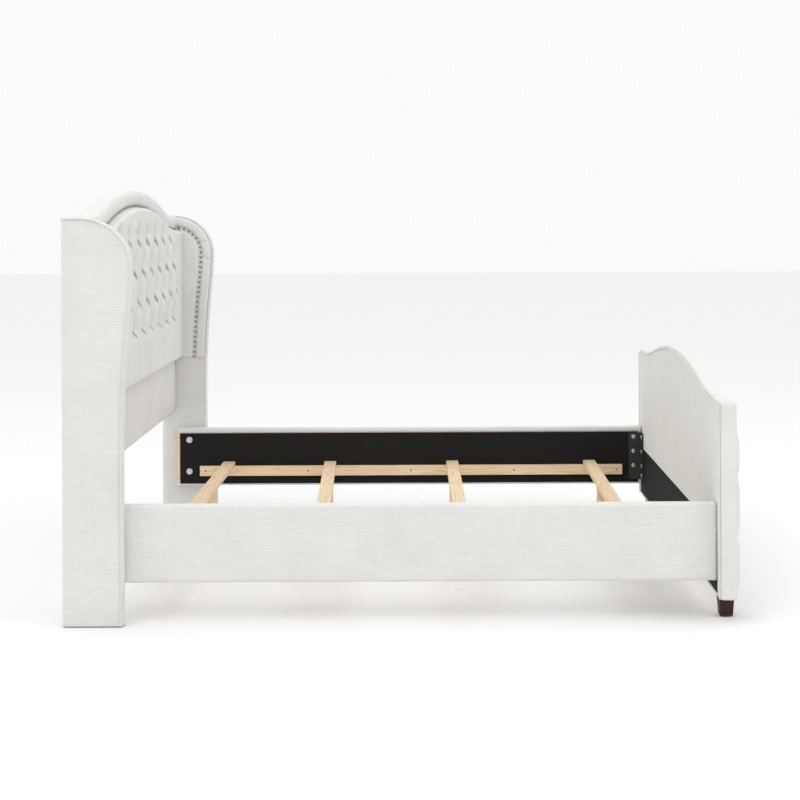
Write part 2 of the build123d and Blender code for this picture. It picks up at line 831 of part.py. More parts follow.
# Cloth on the inside of the footboard
with BuildPart() as foot_cover:
    with BuildSketch(along(foot_face)):
        foot_crest(foot_roll_drop, foot_bottom)
    extrude(amount=foot_cover_thickness)
    drill(
        along(foot_face - cut_overrun), both_foot_places, hole_radius,
        foot_cover_thickness + 2 * cut_overrun
    )
save(foot_cover, "footboard_inner_cover")

# Padded border of the footboard: it wraps the top and the sides and ends at the nail strip
with BuildPart() as foot_border:
    with BuildSketch(along(foot_frame_back)):
        foot_crest(0, foot_bottom)
        foot_crest(foot_padding - seat_gap, 0, Mode.SUBTRACT)
    extrude(amount=foot_board_front - foot_frame_back)
    with BuildSketch(along(foot_board_front)):
        foot_crest(0, foot_bottom)
        foot_crest(foot_border_width, 0, Mode.SUBTRACT)
    extrude(amount=foot_border_base)
    with BuildSketch(along(foot_board_front + foot_border_base)):
        foot_crest(0, foot_bottom)
        foot_crest(foot_border_width - nail_strip_width, 0, Mode.SUBTRACT)
    extrude(amount=foot_border_rise)
    chamfer(foot_border.faces().sort_by(Axis.X)[-1].edges(), foot_border_radius)
    chamfer(foot_border.edges().group_by(Axis.X)[0].sort_by(middle_height)[-1], foot_roll_radius)
save(foot_border, "footboard_border_pad")

# Tufted pad on the outside of the footboard
foot_pad_half = foot_half - foot_border_width - seat_gap
foot_tuft_reach = foot_pad_half - foot_pit_radius
foot_tufts = tuft_places(
    foot_tuft_top_row_height, foot_tuft_row_spacing, foot_tuft_row_count, foot_tuft_reach, 0
)
foot_groove_drop = foot_tuft_row_spacing * (foot_tuft_row_count - 1)
foot_groove_run = tuft_pitch / 2 * (foot_tuft_row_count - 1)
foot_groove_starts = [
    tuft_pitch * i for i in range(-foot_tuft_line_count, foot_tuft_line_count + 1)
]
with BuildPart() as foot_pad:
    with BuildSketch(along(foot_board_front)):
        foot_crest(foot_border_width + seat_gap, foot_bottom)
    extrude(amount=foot_pad_rise)
    chamfer(foot_pad.faces().sort_by(Axis.X)[-1].edges(), foot_pad_radius)
    for direction in (-1, 1):
        groove_family(
            foot_pad_front, foot_tuft_top_row_height, foot_groove_width, foot_groove_depth,
            foot_groove_starts, direction * foot_groove_run, foot_groove_drop
        )
    with BuildSketch(along(foot_pad_front)):
        with Locations(*foot_tufts):
            RegularPolygon(foot_pit_radius, tuft_pit_sides)
    extrude(amount=-foot_pit_depth, mode=Mode.SUBTRACT)
save(foot_pad, "footboard_tufted_pad")

# Black lining across the inside of the footboard
with BuildPart() as foot_lining:
    with BuildSketch(along(rail_foot)):
        with Locations((0, foot_lining_bottom)):
            lining_height = foot_lining_top - foot_lining_bottom
            Rectangle(2 * rail_outer, lining_height, align=(Align.CENTER, Align.MIN))
    extrude(amount=foot_lining_thickness)
    drill(
        along(rail_foot - cut_overrun), both_foot_places, hole_radius,
        foot_lining_thickness + 2 * cut_overrun
    )
save(foot_lining, "footboard_lining")

# Piping round the inside edge of the footboard
with BuildPart() as foot_welt:
    with BuildSketch(along(foot_face - foot_welt_rise)):
        foot_crest(foot_roll_drop, foot_bottom)
        foot_crest(foot_roll_drop + foot_welt_width, 0, Mode.SUBTRACT)
    extrude(amount=foot_welt_rise)
save(foot_welt, "footboard_welt")

# Nailheads of the wings and the headboard
with BuildPart() as nailheads:
    studs(across(rail_outer), wing_nail_places, nail_radius, nail_sides, nail_height)
    mirror(about=Plane.XZ)
    studs(along(head_face), head_nail_places, nail_radius, nail_sides, nail_height)
save(nailheads, "nailheads")

# Covered buttons in the pits of both tufted pads
with BuildPart() as buttons:
    head_button_plane = along(tufted_front - tuft_pit_depth)
    studs(head_button_plane, head_tufts, button_radius, button_sides, button_height)
    foot_button_plane = along(foot_pad_front - foot_pit_depth)
    studs(foot_button_plane, foot_tufts, foot_button_radius, button_sides, foot_button_height)
save(buttons, "tuft_buttons")

# Tapered leg of the footboard, with the bore for its hanger bolt
with BuildPart() as foot_leg:
    with BuildSketch(Plane.XY.offset(foot_bottom)):
        with Locations((leg_center_x, hanger_y)):
            Rectangle(foot_leg_top, foot_leg_top)
    leg_drop = foot_bottom - glide_height
    extrude(amount=-leg_drop)
    sole = foot_leg.faces().sort_by(Axis.Z)[0]
    chamfer(sole.edges(), foot_leg_narrowing, leg_drop - foot_leg_collar, reference=sole)
    drill(
        Plane.XY.offset(foot_bottom), [(hanger_x, hanger_y)],
        hanger_bolt_radius + hole_clearance, -hanger_bolt_reach
    )
save_pair(foot_leg, "footboard_leg")


# Slats, each with two legs, turned as they lie on the ledgers
slat_half = rail_inner - slat_end_gap
leg_screw_places = [
    (side * leg_screw_spacing / 2, end * leg_offset) for side in (-1, 1) for end in (-1, 1)
]


def slat_plane(index, height):
    """Plane of one slat at a height, with its Y axis along the slat."""
    turn = math.radians(slat_turns[index])
    x = rail_head + slat_place_shares[index] * rail_length
    return Plane(origin=(x, 0, height), x_dir=(math.cos(turn), math.sin(turn), 0), z_dir=(0, 0, 1))


for number in range(len(slat_place_shares)):
    with BuildPart() as slat:
        with BuildSketch(slat_plane(number, ledger_top)):
            Rectangle(slat_width, 2 * slat_half)
        extrude(amount=slat_thickness)
        chamfer(slat.faces().sort_by(Axis.Z)[-1].edges(), slat_edge_chamfer)
        sink(slat_plane(number, slat_top), leg_screw_places, slat_thickness + cut_overrun)
    save(slat, f"slat_{number + 1}")

    for side, side_name in ((-1, "left"), (1, "right")):
        with BuildPart() as slat_leg:
            with BuildSketch(slat_plane(number, glide_height)):
                with Locations((0, side * leg_offset)):
                    Rectangle(slat_width, leg_depth)
            extrude(amount=ledger_top - glide_height)
            chamfer(slat_leg.edges().filter_by(Axis.Z), slat_edge_chamfer)
            pilot_holes(slat_plane(number, ledger_top), leg_screw_places, -leg_pilot_depth)
        save(slat_leg, f"slat_{number + 1}_leg_{side_name}")


# Bolts into the wings: from inside the rails and from inside the headboard frame
stile_bolt_reach = wing_core_outer - stile_inner - bolt_end_gap
with BuildPart() as wing_bolts:
    bolts(
        across(stile_inner), wing_bolt_places, wing_bolt_head_radius, wing_bolt_head_height,
        stile_bolt_reach
    )
    bolts(
        across(rail_inner), head_bolt_places, wing_bolt_head_radius, wing_bolt_head_height,
        wing_core_outer - rail_inner - bolt_end_gap
    )
    mirror(about=Plane.XZ)
save(wing_bolts, "wing_bolts")

# Lag bolts through the corner brackets, into the rails and into the footboard posts
bracket_side_face = across(rail_inner - bracket_thickness)
bracket_end_face = Plane.left.offset(bracket_thickness - rail_foot)
with BuildPart() as bracket_bolts:
    bolts(
        bracket_side_face, bracket_rail_places, bolt_head_radius, bolt_head_height, lag_reach
    )
    mirror(about=Plane.XZ)
    bolts(bracket_end_face, both_foot_places, bolt_head_radius, bolt_head_height, lag_reach)
save(bracket_bolts, "bracket_bolts")

# Tee nuts of the bolts into the wings
with BuildPart() as all_tee_nuts:
    tee_nuts(across(wing_core_outer), wing_all_bolts)
    mirror(about=Plane.XZ)
save(all_tee_nuts, "tee_nuts")


def wood_screws(plane, places):
    """Countersunk screws whose heads end level with a plane."""
    studs(plane, places, screw_head_radius, screw_sides, -screw_head_depth, screw_head_taper)
    studs(plane, places, screw_radius, screw_sides, -screw_length)


# Wood screws that hold the ledgers and the legs of the slats
with BuildPart() as screws:
    wood_screws(across(ledger_inner), ledger_screw_places)
    mirror(about=Plane.XZ)
    for number in range(len(slat_place_shares)):
        wood_screws(slat_plane(number, slat_top), leg_screw_places)
save(screws, "wood_screws")

# Hanger bolts of the footboard legs
with BuildPart() as hanger_bolts:
    with BuildSketch(Plane.XY.offset(foot_bottom - hanger_bolt_reach)):
        with Locations((hanger_x, -hanger_y), (hanger_x, hanger_y)):
            RegularPolygon(hanger_bolt_radius, bolt_sides)
    extrude(amount=2 * hanger_bolt_reach)
save(hanger_bolts, "hanger_bolts")

# Glides under the wings, the footboard legs and the legs of the slats
wing_middle = (wing_core_inner + wing_core_outer) / 2
wing_glide_xs = (head_back + wing_glide_inset, head_back + wing_depth_low - wing_glide_inset)
with BuildPart() as glides:
    with BuildSketch():
        with Locations(*[(x, side * wing_middle) for x in wing_glide_xs for side in (-1, 1)]):
            RegularPolygon(glide_radius, glide_sides)
        with Locations((leg_center_x, -hanger_y), (leg_center_x, hanger_y)):
            RegularPolygon(glide_radius, glide_sides)
    extrude(amount=glide_height)
    for number in range(len(slat_place_shares)):
        glide_places = [(0, -leg_offset), (0, leg_offset)]
        studs(slat_plane(number, 0), glide_places, glide_radius, glide_sides, glide_height)
save(glides, "glides")
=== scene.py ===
import bpy
import math
import numpy as np
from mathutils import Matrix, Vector


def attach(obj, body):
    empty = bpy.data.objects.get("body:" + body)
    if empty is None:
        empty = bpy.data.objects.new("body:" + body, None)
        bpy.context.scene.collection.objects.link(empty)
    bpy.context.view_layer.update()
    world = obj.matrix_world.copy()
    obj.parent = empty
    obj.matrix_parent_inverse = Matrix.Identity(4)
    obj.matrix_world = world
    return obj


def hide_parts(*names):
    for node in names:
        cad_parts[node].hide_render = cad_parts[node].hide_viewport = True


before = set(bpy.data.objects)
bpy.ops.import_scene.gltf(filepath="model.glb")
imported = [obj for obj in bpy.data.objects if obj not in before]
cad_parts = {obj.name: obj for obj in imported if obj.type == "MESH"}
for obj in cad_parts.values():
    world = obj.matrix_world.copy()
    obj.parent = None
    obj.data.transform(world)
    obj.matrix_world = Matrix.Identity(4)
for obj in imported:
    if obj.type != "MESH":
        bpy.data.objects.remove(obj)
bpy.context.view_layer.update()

print("stage: frame loaded,", len(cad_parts), "nodes")


# Places that several pieces share, in metres, in the same frame as the solids
bed = {
    "headBack": -1.096,
    "headFace": -1.039,
    "boardFront": -1.0555,
    "padFront": -1.005,
    "footFace": 1.028,
    "footBoardFront": 1.077,
    "railOuter": 1.019,
    "railInner": 0.971,
    "railBottom": 0.132,
    "railTop": 0.384,
    "wingOuter": 1.075,
    "panelHalf": 1.0187,
    "seam": 0.690,
    "headBottom": 0.455,
    "floorGap": 0.004,
    "footBottom": 0.081,
}
headCrest = {"crown": 1.423, "shoulder": 1.322, "reach": 1.006, "share": 0.63}
nailCrest = {"crown": 1.358, "shoulder": 1.257, "reach": 1.006, "share": 0.55}
footCrest = {"crown": 0.809, "shoulder": 0.719, "reach": 1.000, "share": 0.6}
sides = ((-1, "left"), (1, "right"))
hair = 0.0002  # room between a piece and what it lies on
mergeReach = 0.00003


def clearSelection():
    if bpy.context.object and bpy.context.object.mode != "OBJECT":
        bpy.ops.object.mode_set(mode="OBJECT")
    bpy.ops.object.select_all(action="DESELECT")


def pick(piece):
    clearSelection()
    piece.select_set(True)
    bpy.context.view_layer.objects.active = piece


def editWhole(*steps):
    # runs each step in edit mode, with all of the active piece selected
    bpy.ops.object.mode_set(mode="EDIT")
    for step in steps:
        bpy.ops.mesh.select_all(action="SELECT")
        step()
    bpy.ops.object.mode_set(mode="OBJECT")


def applyModifier(piece, name):
    pick(piece)
    bpy.ops.object.modifier_apply(modifier=name)


def softenEdges(piece, angle):
    pick(piece)
    bpy.ops.object.shade_smooth_by_angle(angle=math.radians(angle))


def joinPieces(pieces, name):
    clearSelection()
    for piece in pieces:
        piece.select_set(True)
    bpy.context.view_layer.objects.active = pieces[0]
    bpy.ops.object.join()
    pieces[0].name = name
    return pieces[0]


def readSpots(mesh):
    spots = np.empty(len(mesh.vertices) * 3)
    mesh.vertices.foreach_get("co", spots)
    return spots.reshape(-1, 3)


def writeSpots(mesh, spots):
    mesh.vertices.foreach_set("co", spots.ravel())
    mesh.update()


def soften(value):
    value = np.clip(value, 0, 1)
    return value * value * (3 - 2 * value)


def roundOff(share):
    # a quarter circle: 0 at an edge, 1 where share reaches 1
    return np.sqrt(1 - (1 - np.clip(share, 0, 1)) ** 2)


def cornerDrop(away, radius):
    # how far a rounded corner lies below its face, at a distance from its edge
    below = radius - np.minimum(away, radius)
    return radius - np.sqrt(np.clip(radius ** 2 - below ** 2, 0, None))


def camelback(y, line, inset=0.0):
    # height of a crest of three tangent arcs at y, drawn in by inset
    rise = line["crown"] - line["shoulder"]
    reach = line["reach"] - inset
    turn = 2 * np.arctan(rise / reach)
    split = line["share"] * reach
    topRadius = split / np.sin(turn)
    sideRadius = (1 - line["share"]) * reach / np.sin(turn)
    y = np.minimum(np.abs(y), reach)
    top = line["crown"] - topRadius + np.sqrt(topRadius ** 2 - np.minimum(y, split) ** 2)
    side = line["shoulder"] + sideRadius - np.sqrt(sideRadius ** 2 - (reach - y) ** 2)
    return np.where(y <= split, top, side) - inset


def ripple(a, b, seed, reach):
    # slow unevenness of stretched cloth, the same on every run
    picks = np.random.default_rng(seed)
    total = np.zeros_like(a)
    for k in range(7):
        angle = picks.uniform(0, math.pi)
        wave = picks.uniform(0.6, 2.2) * 2 * math.pi / reach
        total += np.sin((a * math.cos(angle) + b * math.sin(angle)) * wave + picks.uniform(0, 6.28))
    return total / 7


def gridPiece(name, columns, rows, place, around=False):
    # a grid primitive laid over a surface; around closes its rows into a tube with capped ends
    clearSelection()
    bpy.ops.mesh.primitive_grid_add(x_subdivisions=columns, y_subdivisions=rows, size=2)
    piece = bpy.context.object
    piece.name = name
    spots = readSpots(piece.data)
    u = np.round((spots[:, 0] + 1) / 2 * columns) / columns
    v = np.round((spots[:, 1] + 1) / 2 * rows) / rows
    if around:
        v = np.where(v > 0.9999, 0.0, v)
    writeSpots(piece.data, np.column_stack(place(u, v)))
    editWhole(
        lambda: bpy.ops.mesh.remove_doubles(threshold=mergeReach),
        lambda: bpy.ops.mesh.fill_holes(sides=0),
        lambda: bpy.ops.mesh.normals_make_consistent(inside=False),
    )
    bpy.ops.object.shade_smooth()
    return piece


def foldedSheet(name, columns, rows, surface):
    # cloth over a board: surface also gets the outermost ring of points, which it folds straight back
    def place(u, v):
        a = np.clip((u * columns - 1) / (columns - 2), 0, 1)
        b = np.clip((v * rows - 1) / (rows - 2), 0, 1)
        rim = (u < 1e-6) | (u > 1 - 1e-6) | (v < 1e-6) | (v > 1 - 1e-6)
        return surface(a, b, rim)

    return gridPiece(name, columns, rows, place)


def arcPoints(centre, radius, first, last, count=5):
    angles = np.radians(np.linspace(first, last, count))
    return [(centre[0] + radius * math.cos(a), centre[1] + radius * math.sin(a)) for a in angles]


def ringPiece(name, section, path, columns, rows):
    # a closed section carried along a path, with its points spread evenly along its length;
    # path turns u and the section's two numbers into a place
    ring = np.array(section + [section[0]], dtype=float)
    step = np.hypot(*(np.diff(ring, axis=0).T))
    along = np.concatenate([[0], np.cumsum(step)]) / step.sum()

    def place(u, v):
        return path(u, np.interp(v, along, ring[:, 0]), np.interp(v, along, ring[:, 1]))

    return gridPiece(name, columns, rows, place, around=True)


def puffPad(piece, held, pressure, cap, stiffness=25, bending=2.0, steps=14):
    # Blender's cloth swells the free cloth of a pad, held where its seams and backs are
    before = readSpots(piece.data)
    group = piece.vertex_groups.new(name="heldCloth")
    group.add([int(i) for i in np.nonzero(held(*before.T))[0]], 1.0, "REPLACE")
    cloth = piece.modifiers.new("padCloth", "CLOTH")
    for key, value in {
        "quality": 4, "mass": 0.3, "tension_stiffness": stiffness, "compression_stiffness": stiffness,
        "shear_stiffness": stiffness / 3, "bending_stiffness": bending, "use_pressure": True,
        "uniform_pressure_force": pressure, "vertex_group_mass": "heldCloth",
    }.items():
        setattr(cloth.settings, key, value)
    cloth.settings.effector_weights.gravity = 0
    cloth.collision_settings.use_collision = False
    cloth.collision_settings.use_self_collision = False
    for step in range(1, steps + 1):
        bpy.context.scene.frame_set(step)
    solved = piece.evaluated_get(bpy.context.evaluated_depsgraph_get())
    move = readSpots(solved.to_mesh()) - before
    solved.to_mesh_clear()
    piece.modifiers.remove(cloth)
    length = np.linalg.norm(move, axis=1, keepdims=True)
    writeSpots(piece.data, before + move * np.minimum(1, cap / np.maximum(length, 1e-9)))
    piece.vertex_groups.remove(group)
    bpy.context.scene.frame_set(1)


def finishPiece(piece, node, material):
    piece.data.materials.clear()
    piece.data.materials.append(material)
    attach(piece, "root")
    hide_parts(node)


# Shader groups: each is built once and placed in the materials that use it

class NodeMaker:
    # adds and joins the nodes of one tree
    def __init__(self, tree):
        self.tree = tree

    def add(self, kind, **settings):
        node = self.tree.nodes.new(kind)
        for key, value in settings.items():
            setattr(node, key, value)
        return node

    def feed(self, socket, value):
        # a number or a color is set, another node's output is joined
        if isinstance(value, (int, float, tuple)):
            socket.default_value = value
        else:
            self.tree.links.new(value, socket)

    def math(self, operation, a, b=None, clamp=False):
        node = self.add("ShaderNodeMath", operation=operation, use_clamp=clamp)
        self.feed(node.inputs[0], a)
        if b is not None:
            self.feed(node.inputs[1], b)
        return node.outputs[0]

    def plus(self, a, b, clamp=False):
        return self.math("ADD", a, b, clamp)

    def minus(self, a, b):
        return self.math("SUBTRACT", a, b)

    def times(self, a, b, clamp=False):
        return self.math("MULTIPLY", a, b, clamp)

    def mix(self, factor, a, b):
        node = self.add("ShaderNodeMix", data_type="RGBA")
        for index, value in ((0, factor), (6, a), (7, b)):
            self.feed(node.inputs[index], value)
        return node.outputs[2]

    def vector(self, operation, a, label, b):
        node = self.add("ShaderNodeVectorMath", operation=operation)
        self.feed(node.inputs[0], a)
        self.feed(node.inputs[label], b)
        return node.outputs[0]

    def noise(self, vector, scale, detail=3.0, rough=0.55):
        node = self.add("ShaderNodeTexNoise")
        for label, value in (("Vector", vector), ("Scale", scale), ("Detail", detail), ("Roughness", rough)):
            self.feed(node.inputs[label], value)
        return node.outputs[0]

    def stretchedNoise(self, vector, scale, detail):
        node = self.add("ShaderNodeMapping")
        self.feed(node.inputs["Vector"], vector)
        self.feed(node.inputs["Scale"], scale)
        return self.noise(node.outputs[0], 1.0, detail)


def newGroup(name, inputs):
    # inputs holds each named input with its usual value; every group puts out the same three
    tree = bpy.data.node_groups.new(name, "ShaderNodeTree")
    for label, value in inputs.items():
        size = len(value) if isinstance(value, tuple) else 1
        kind = {1: "NodeSocketFloat", 3: "NodeSocketVector", 4: "NodeSocketColor"}[size]
        tree.interface.new_socket(label, in_out="INPUT", socket_type=kind).default_value = value
    for label, kind in (("Color", "Color"), ("Height", "Float"), ("Roughness", "Float")):
        tree.interface.new_socket(label, in_out="OUTPUT", socket_type="NodeSocket" + kind)
    make = NodeMaker(tree)
    given = make.add("NodeGroupInput").outputs
    return make, given, make.add("ShaderNodeTexCoord").outputs["Object"]


def closeGroup(make, color, height, roughness):
    out = make.add("NodeGroupOutput")
    for label, value in (("Color", color), ("Height", height), ("Roughness", roughness)):
        make.feed(out.inputs[label], value)
    return make.tree


def weaveGroup():
    # slubby plain weave: crossing threads, thick slubs along both ways, and slow shade changes; it also takes
    # painted shade in the folds of the tufted pads
    make, given, place = newGroup("clothWeave", {
        "Color": (0.8, 0.78, 0.73, 1), "Slub Color": (0.7, 0.67, 0.6, 1),
        "Thread": 900.0, "Slub": 0.5, "Shade": 0.05, "Streaks": 0.17,
    })
    parts = make.add("ShaderNodeSeparateXYZ")
    make.feed(parts.inputs[0], place)
    wobble = make.times(make.noise(place, 60.0, 2.0), 5.0)
    threads = []
    for way in (make.plus(parts.outputs[0], parts.outputs[1]), parts.outputs[2]):
        wave = make.math("SINE", make.plus(make.times(way, given["Thread"]), wobble))
        threads.append(make.math("ABSOLUTE", wave))
    threads = make.times(make.plus(*threads), 0.5)
    acrossSlubs = make.stretchedNoise(place, (30.0, 30.0, 900.0), 3.0)
    downSlubs = make.stretchedNoise(place, (900.0, 900.0, 30.0), 3.0)
    slubMask = make.times(make.minus(make.math("MAXIMUM", acrossSlubs, downSlubs), 0.55), 5.0, clamp=True)
    acrossStreaks = make.minus(make.stretchedNoise(place, (16.0, 16.0, 260.0), 2.0), 0.5)
    downStreaks = make.minus(make.stretchedNoise(place, (260.0, 260.0, 16.0), 2.0), 0.5)
    streaks = make.plus(acrossStreaks, make.times(downStreaks, 0.4))
    slow = make.times(make.minus(make.noise(place, 5.0, 4.0, 0.6), 0.5), given["Shade"])
    tone = make.plus(make.times(threads, 0.10), 0.93)
    tone = make.plus(tone, make.times(slow, 2.0))
    tone = make.plus(tone, make.times(streaks, given["Streaks"]))
    # painted shade: the folds beside the tufts are darkened by an attribute of the tufted pads
    folds = make.add("ShaderNodeAttribute", attribute_type="GEOMETRY", attribute_name="foldShade")
    tone = make.times(tone, make.minus(1.0, make.times(folds.outputs["Fac"], 0.55)))
    mixed = make.mix(make.times(slubMask, given["Slub"]), given["Color"], given["Slub Color"])
    return closeGroup(
        make,
        color=make.vector("SCALE", mixed, "Scale", tone),
        height=make.plus(threads, make.times(slubMask, 0.8)),
        roughness=make.plus(make.times(threads, 0.12), 0.80),
    )


def grainGroup():
    # planed softwood: long bands of early and late wood along one axis, with fine pores
    make, given, place = newGroup("woodGrain", {
        "Light": (0.8, 0.64, 0.44, 1), "Dark": (0.6, 0.42, 0.25, 1),
        "Direction": (1.0, 1.0, 1.0), "Bands": 60.0,
    })
    turned = make.vector("MULTIPLY", place, 1, given["Direction"])
    rings = make.noise(turned, given["Bands"], 2.0, 0.45)
    late = make.math("POWER", make.math("FRACT", make.times(rings, 7.0)), 2.5)
    pores = make.noise(turned, make.times(given["Bands"], 9.0), 4.0)
    poreMask = make.times(make.minus(pores, 0.52), 3.0, clamp=True)
    amount = make.plus(make.times(late, 0.6), make.times(poreMask, 0.4), clamp=True)
    return closeGroup(
        make,
        color=make.mix(amount, given["Light"], given["Dark"]),
        height=make.minus(1.0, amount),
        roughness=make.plus(make.times(amount, 0.18), 0.5),
    )


def wearGroup():
    # patchy tarnish or scuffs: a mask in which a second color shows
    make, given, place = newGroup("wornFinish", {
        "Base": (0.5, 0.5, 0.5, 1), "Worn": (0.7, 0.7, 0.7, 1),
        "Size": 120.0, "Amount": 0.5, "Roughness": 0.4,
    })
    patches = make.noise(place, given["Size"], 5.0, 0.65)
    mask = make.times(make.times(make.minus(patches, 0.45), 4.0, clamp=True), given["Amount"])
    return closeGroup(
        make,
        color=make.mix(mask, given["Base"], given["Worn"]),
        height=patches,
        roughness=make.plus(given["Roughness"], make.times(mask, 0.2)),
    )


groups = {"weave": weaveGroup(), "grain": grainGroup(), "wear": wearGroup()}


def newMaterial(name, groupName, bump, values, metallic=0.0, sheen=0.0, coat=0.0, shine=0.5):
    # bump is the strength and the distance, values go to the group and the rest to the shader
    material = bpy.data.materials.new(name)
    material.use_nodes = True
    make = NodeMaker(material.node_tree)
    shader = material.node_tree.nodes["Principled BSDF"].inputs
    group = make.add("ShaderNodeGroup", node_tree=groups[groupName])
    relief = make.add("ShaderNodeBump")
    for sockets, settings in (
        (group.inputs, values),
        (relief.inputs, {"Strength": bump[0], "Distance": bump[1], "Height": group.outputs["Height"]}),
        (shader, {
            "Base Color": group.outputs["Color"], "Roughness": group.outputs["Roughness"],
            "Normal": relief.outputs["Normal"], "Metallic": metallic, "Specular IOR Level": shine,
            "Sheen Weight": sheen, "Sheen Roughness": 0.5, "Coat Weight": coat,
        }),
    ):
        for label, value in settings.items():
            make.feed(sockets[label], value)
    return material


linen = newMaterial("ivoryLinen", "weave", (0.5, 0.0005), {
    "Color": (0.715, 0.71, 0.69, 1), "Slub Color": (0.60, 0.59, 0.56, 1),
    "Thread": 3200.0, "Slub": 0.8, "Shade": 0.09,
}, sheen=0.15)
# painted light: a copy of the linen, tinted a little warmer, for the light that falls on the footboard's inside
# face
insideLightLinen = newMaterial("innerLinenLightTint", "weave", (0.4, 0.0005), {
    "Color": (0.715, 0.712, 0.68, 1), "Slub Color": (0.61, 0.60, 0.565, 1),
    "Thread": 3200.0, "Slub": 0.7, "Shade": 0.07,
}, sheen=0.15)
backCloth = newMaterial("backCloth", "weave", (0.3, 0.0003), {
    "Color": (0.70, 0.68, 0.63, 1), "Slub Color": (0.62, 0.59, 0.53, 1),
    "Thread": 4200.0, "Slub": 0.3, "Shade": 0.06,
})
liningCloth = newMaterial("blackLining", "weave", (0.5, 0.0004), {
    "Color": (0.010, 0.010, 0.010, 1), "Slub Color": (0.018, 0.018, 0.018, 1),
    "Thread": 2600.0, "Slub": 0.4, "Shade": 0.01,
}, shine=0.22)
pine = {"Light": (0.80, 0.62, 0.40, 1), "Dark": (0.56, 0.36, 0.19, 1), "Bands": 34.0}
pineAcross = newMaterial("pineAcross", "grain", (0.25, 0.0004), {**pine, "Direction": (1.0, 0.06, 1.0)})
pineAlong = newMaterial("pineAlong", "grain", (0.25, 0.0004), {**pine, "Direction": (0.06, 1.0, 1.0)})
pineUpright = newMaterial("pineUpright", "grain", (0.25, 0.0004), {
    "Light": (0.78, 0.60, 0.39, 1), "Dark": (0.54, 0.35, 0.19, 1),
    "Direction": (1.0, 1.0, 0.08), "Bands": 34.0,
})
plyWood = newMaterial("frameWood", "grain", (0.2, 0.0004), {
    "Light": (0.70, 0.56, 0.38, 1), "Dark": (0.52, 0.38, 0.23, 1),
    "Direction": (1.0, 1.0, 0.1), "Bands": 14.0,
})
espresso = newMaterial("espressoWood", "grain", (0.15, 0.0003), {
    "Light": (0.042, 0.016, 0.014, 1), "Dark": (0.017, 0.007, 0.006, 1),
    "Direction": (1.0, 1.0, 0.07), "Bands": 40.0,
}, coat=0.08, shine=0.2)
antiqueMetal = newMaterial("antiqueNails", "wear", (0.2, 0.0003), {
    "Base": (0.29, 0.28, 0.27, 1), "Worn": (0.58, 0.57, 0.55, 1),
    "Size": 260.0, "Amount": 0.8, "Roughness": 0.3,
}, metallic=0.9)
zincMetal = newMaterial("zincPlate", "wear", (0.1, 0.0002), {
    "Base": (0.62, 0.62, 0.60, 1), "Worn": (0.45, 0.45, 0.43, 1),
    "Size": 150.0, "Amount": 0.4, "Roughness": 0.3,
}, metallic=1.0)
blackMetal = newMaterial("blackBracket", "wear", (0.15, 0.0002), {
    "Base": (0.018, 0.018, 0.018, 1), "Worn": (0.05, 0.05, 0.048, 1),
    "Size": 200.0, "Amount": 0.5, "Roughness": 0.5,
})
glidePlastic = newMaterial("glidePlastic", "wear", (0.1, 0.0002), {
    "Base": (0.16, 0.14, 0.12, 1), "Worn": (0.24, 0.22, 0.2, 1),
    "Size": 180.0, "Amount": 0.5, "Roughness": 0.5,
})
print("stage: materials made")


# Wings: a padded shell, a welt on both front corners, a border pad and an inset panel inside

wing = {
    "flareBottom": 0.540, "flareTop": 1.157, "radius": 0.167, "height": 1.324,
    "straightEnd": 0.72, "roundEnd": 0.92,  # shares of the outline
}
# how far its front stands before its back, at the top and at the bottom of the flare
wingFlare = {
    "crown": 0.227, "shoulder": 0.193, "reach": wing["flareTop"] - wing["flareBottom"], "share": 0.2,
}
wingCorner = bed["headBack"] + wingFlare["crown"] - wing["radius"]
wingInside = bed["railOuter"] - hair


def wingFront(z):
    return bed["headBack"] + camelback(np.maximum(wing["flareTop"] - z, 0), wingFlare)


def wingShare(z):
    # share of the wing's outline that lies below height z
    return wing["straightEnd"] * (z - bed["floorGap"]) / (wing["flareTop"] - bed["floorGap"])


def wingLine(s, inset, backX):
    # point of the outline drawn in by inset: s runs from 0 at the floor to 1 at the back of its top
    z = np.interp(s, [0, wing["straightEnd"]], [bed["floorGap"], wing["flareTop"]])
    angle = np.interp(s, [wing["straightEnd"], wing["roundEnd"]], [0, math.pi / 2])
    arm = wing["radius"] - inset
    straight = s <= wing["straightEnd"]
    roundX = wingCorner + arm * np.cos(angle)
    topX = np.interp(s, [wing["roundEnd"], 1], [wingCorner, backX])
    x = np.where(s <= wing["roundEnd"], roundX, topX)
    return (np.where(straight, wingFront(z) - inset, x),
            np.where(straight, z, wing["flareTop"] + arm * np.sin(angle)))


def wingDepth(x, z):
    # how deep a point of the wing's side lies inside its outline
    beside = wingFront(z) - x
    above = z - wing["flareTop"]
    inRound = wing["radius"] - np.hypot(np.maximum(x - wingCorner, 0), np.maximum(above, 0))
    return np.where(above < 0, beside, np.where(x > wingCorner, inRound, wing["height"] - z))


wingShell = {
    "rows": 170, "sideRows": 26, "frontRows": 10, "backRows": 6, "crowding": 1.7,
    "edge": 0.0048, "backEdge": 0.004, "clothRoom": 0.0044, "innerRoom": 0.0001, "cloth": 0.0022,
    "crown": 0.0022, "frontCrown": 0.0015, "wave": 0.0007, "seeds": {-1: 9, 1: 4},
    "heldDeep": 0.0075, "heldEdge": 0.004, "heldBack": 0.012, "heldFoot": 0.03,
}


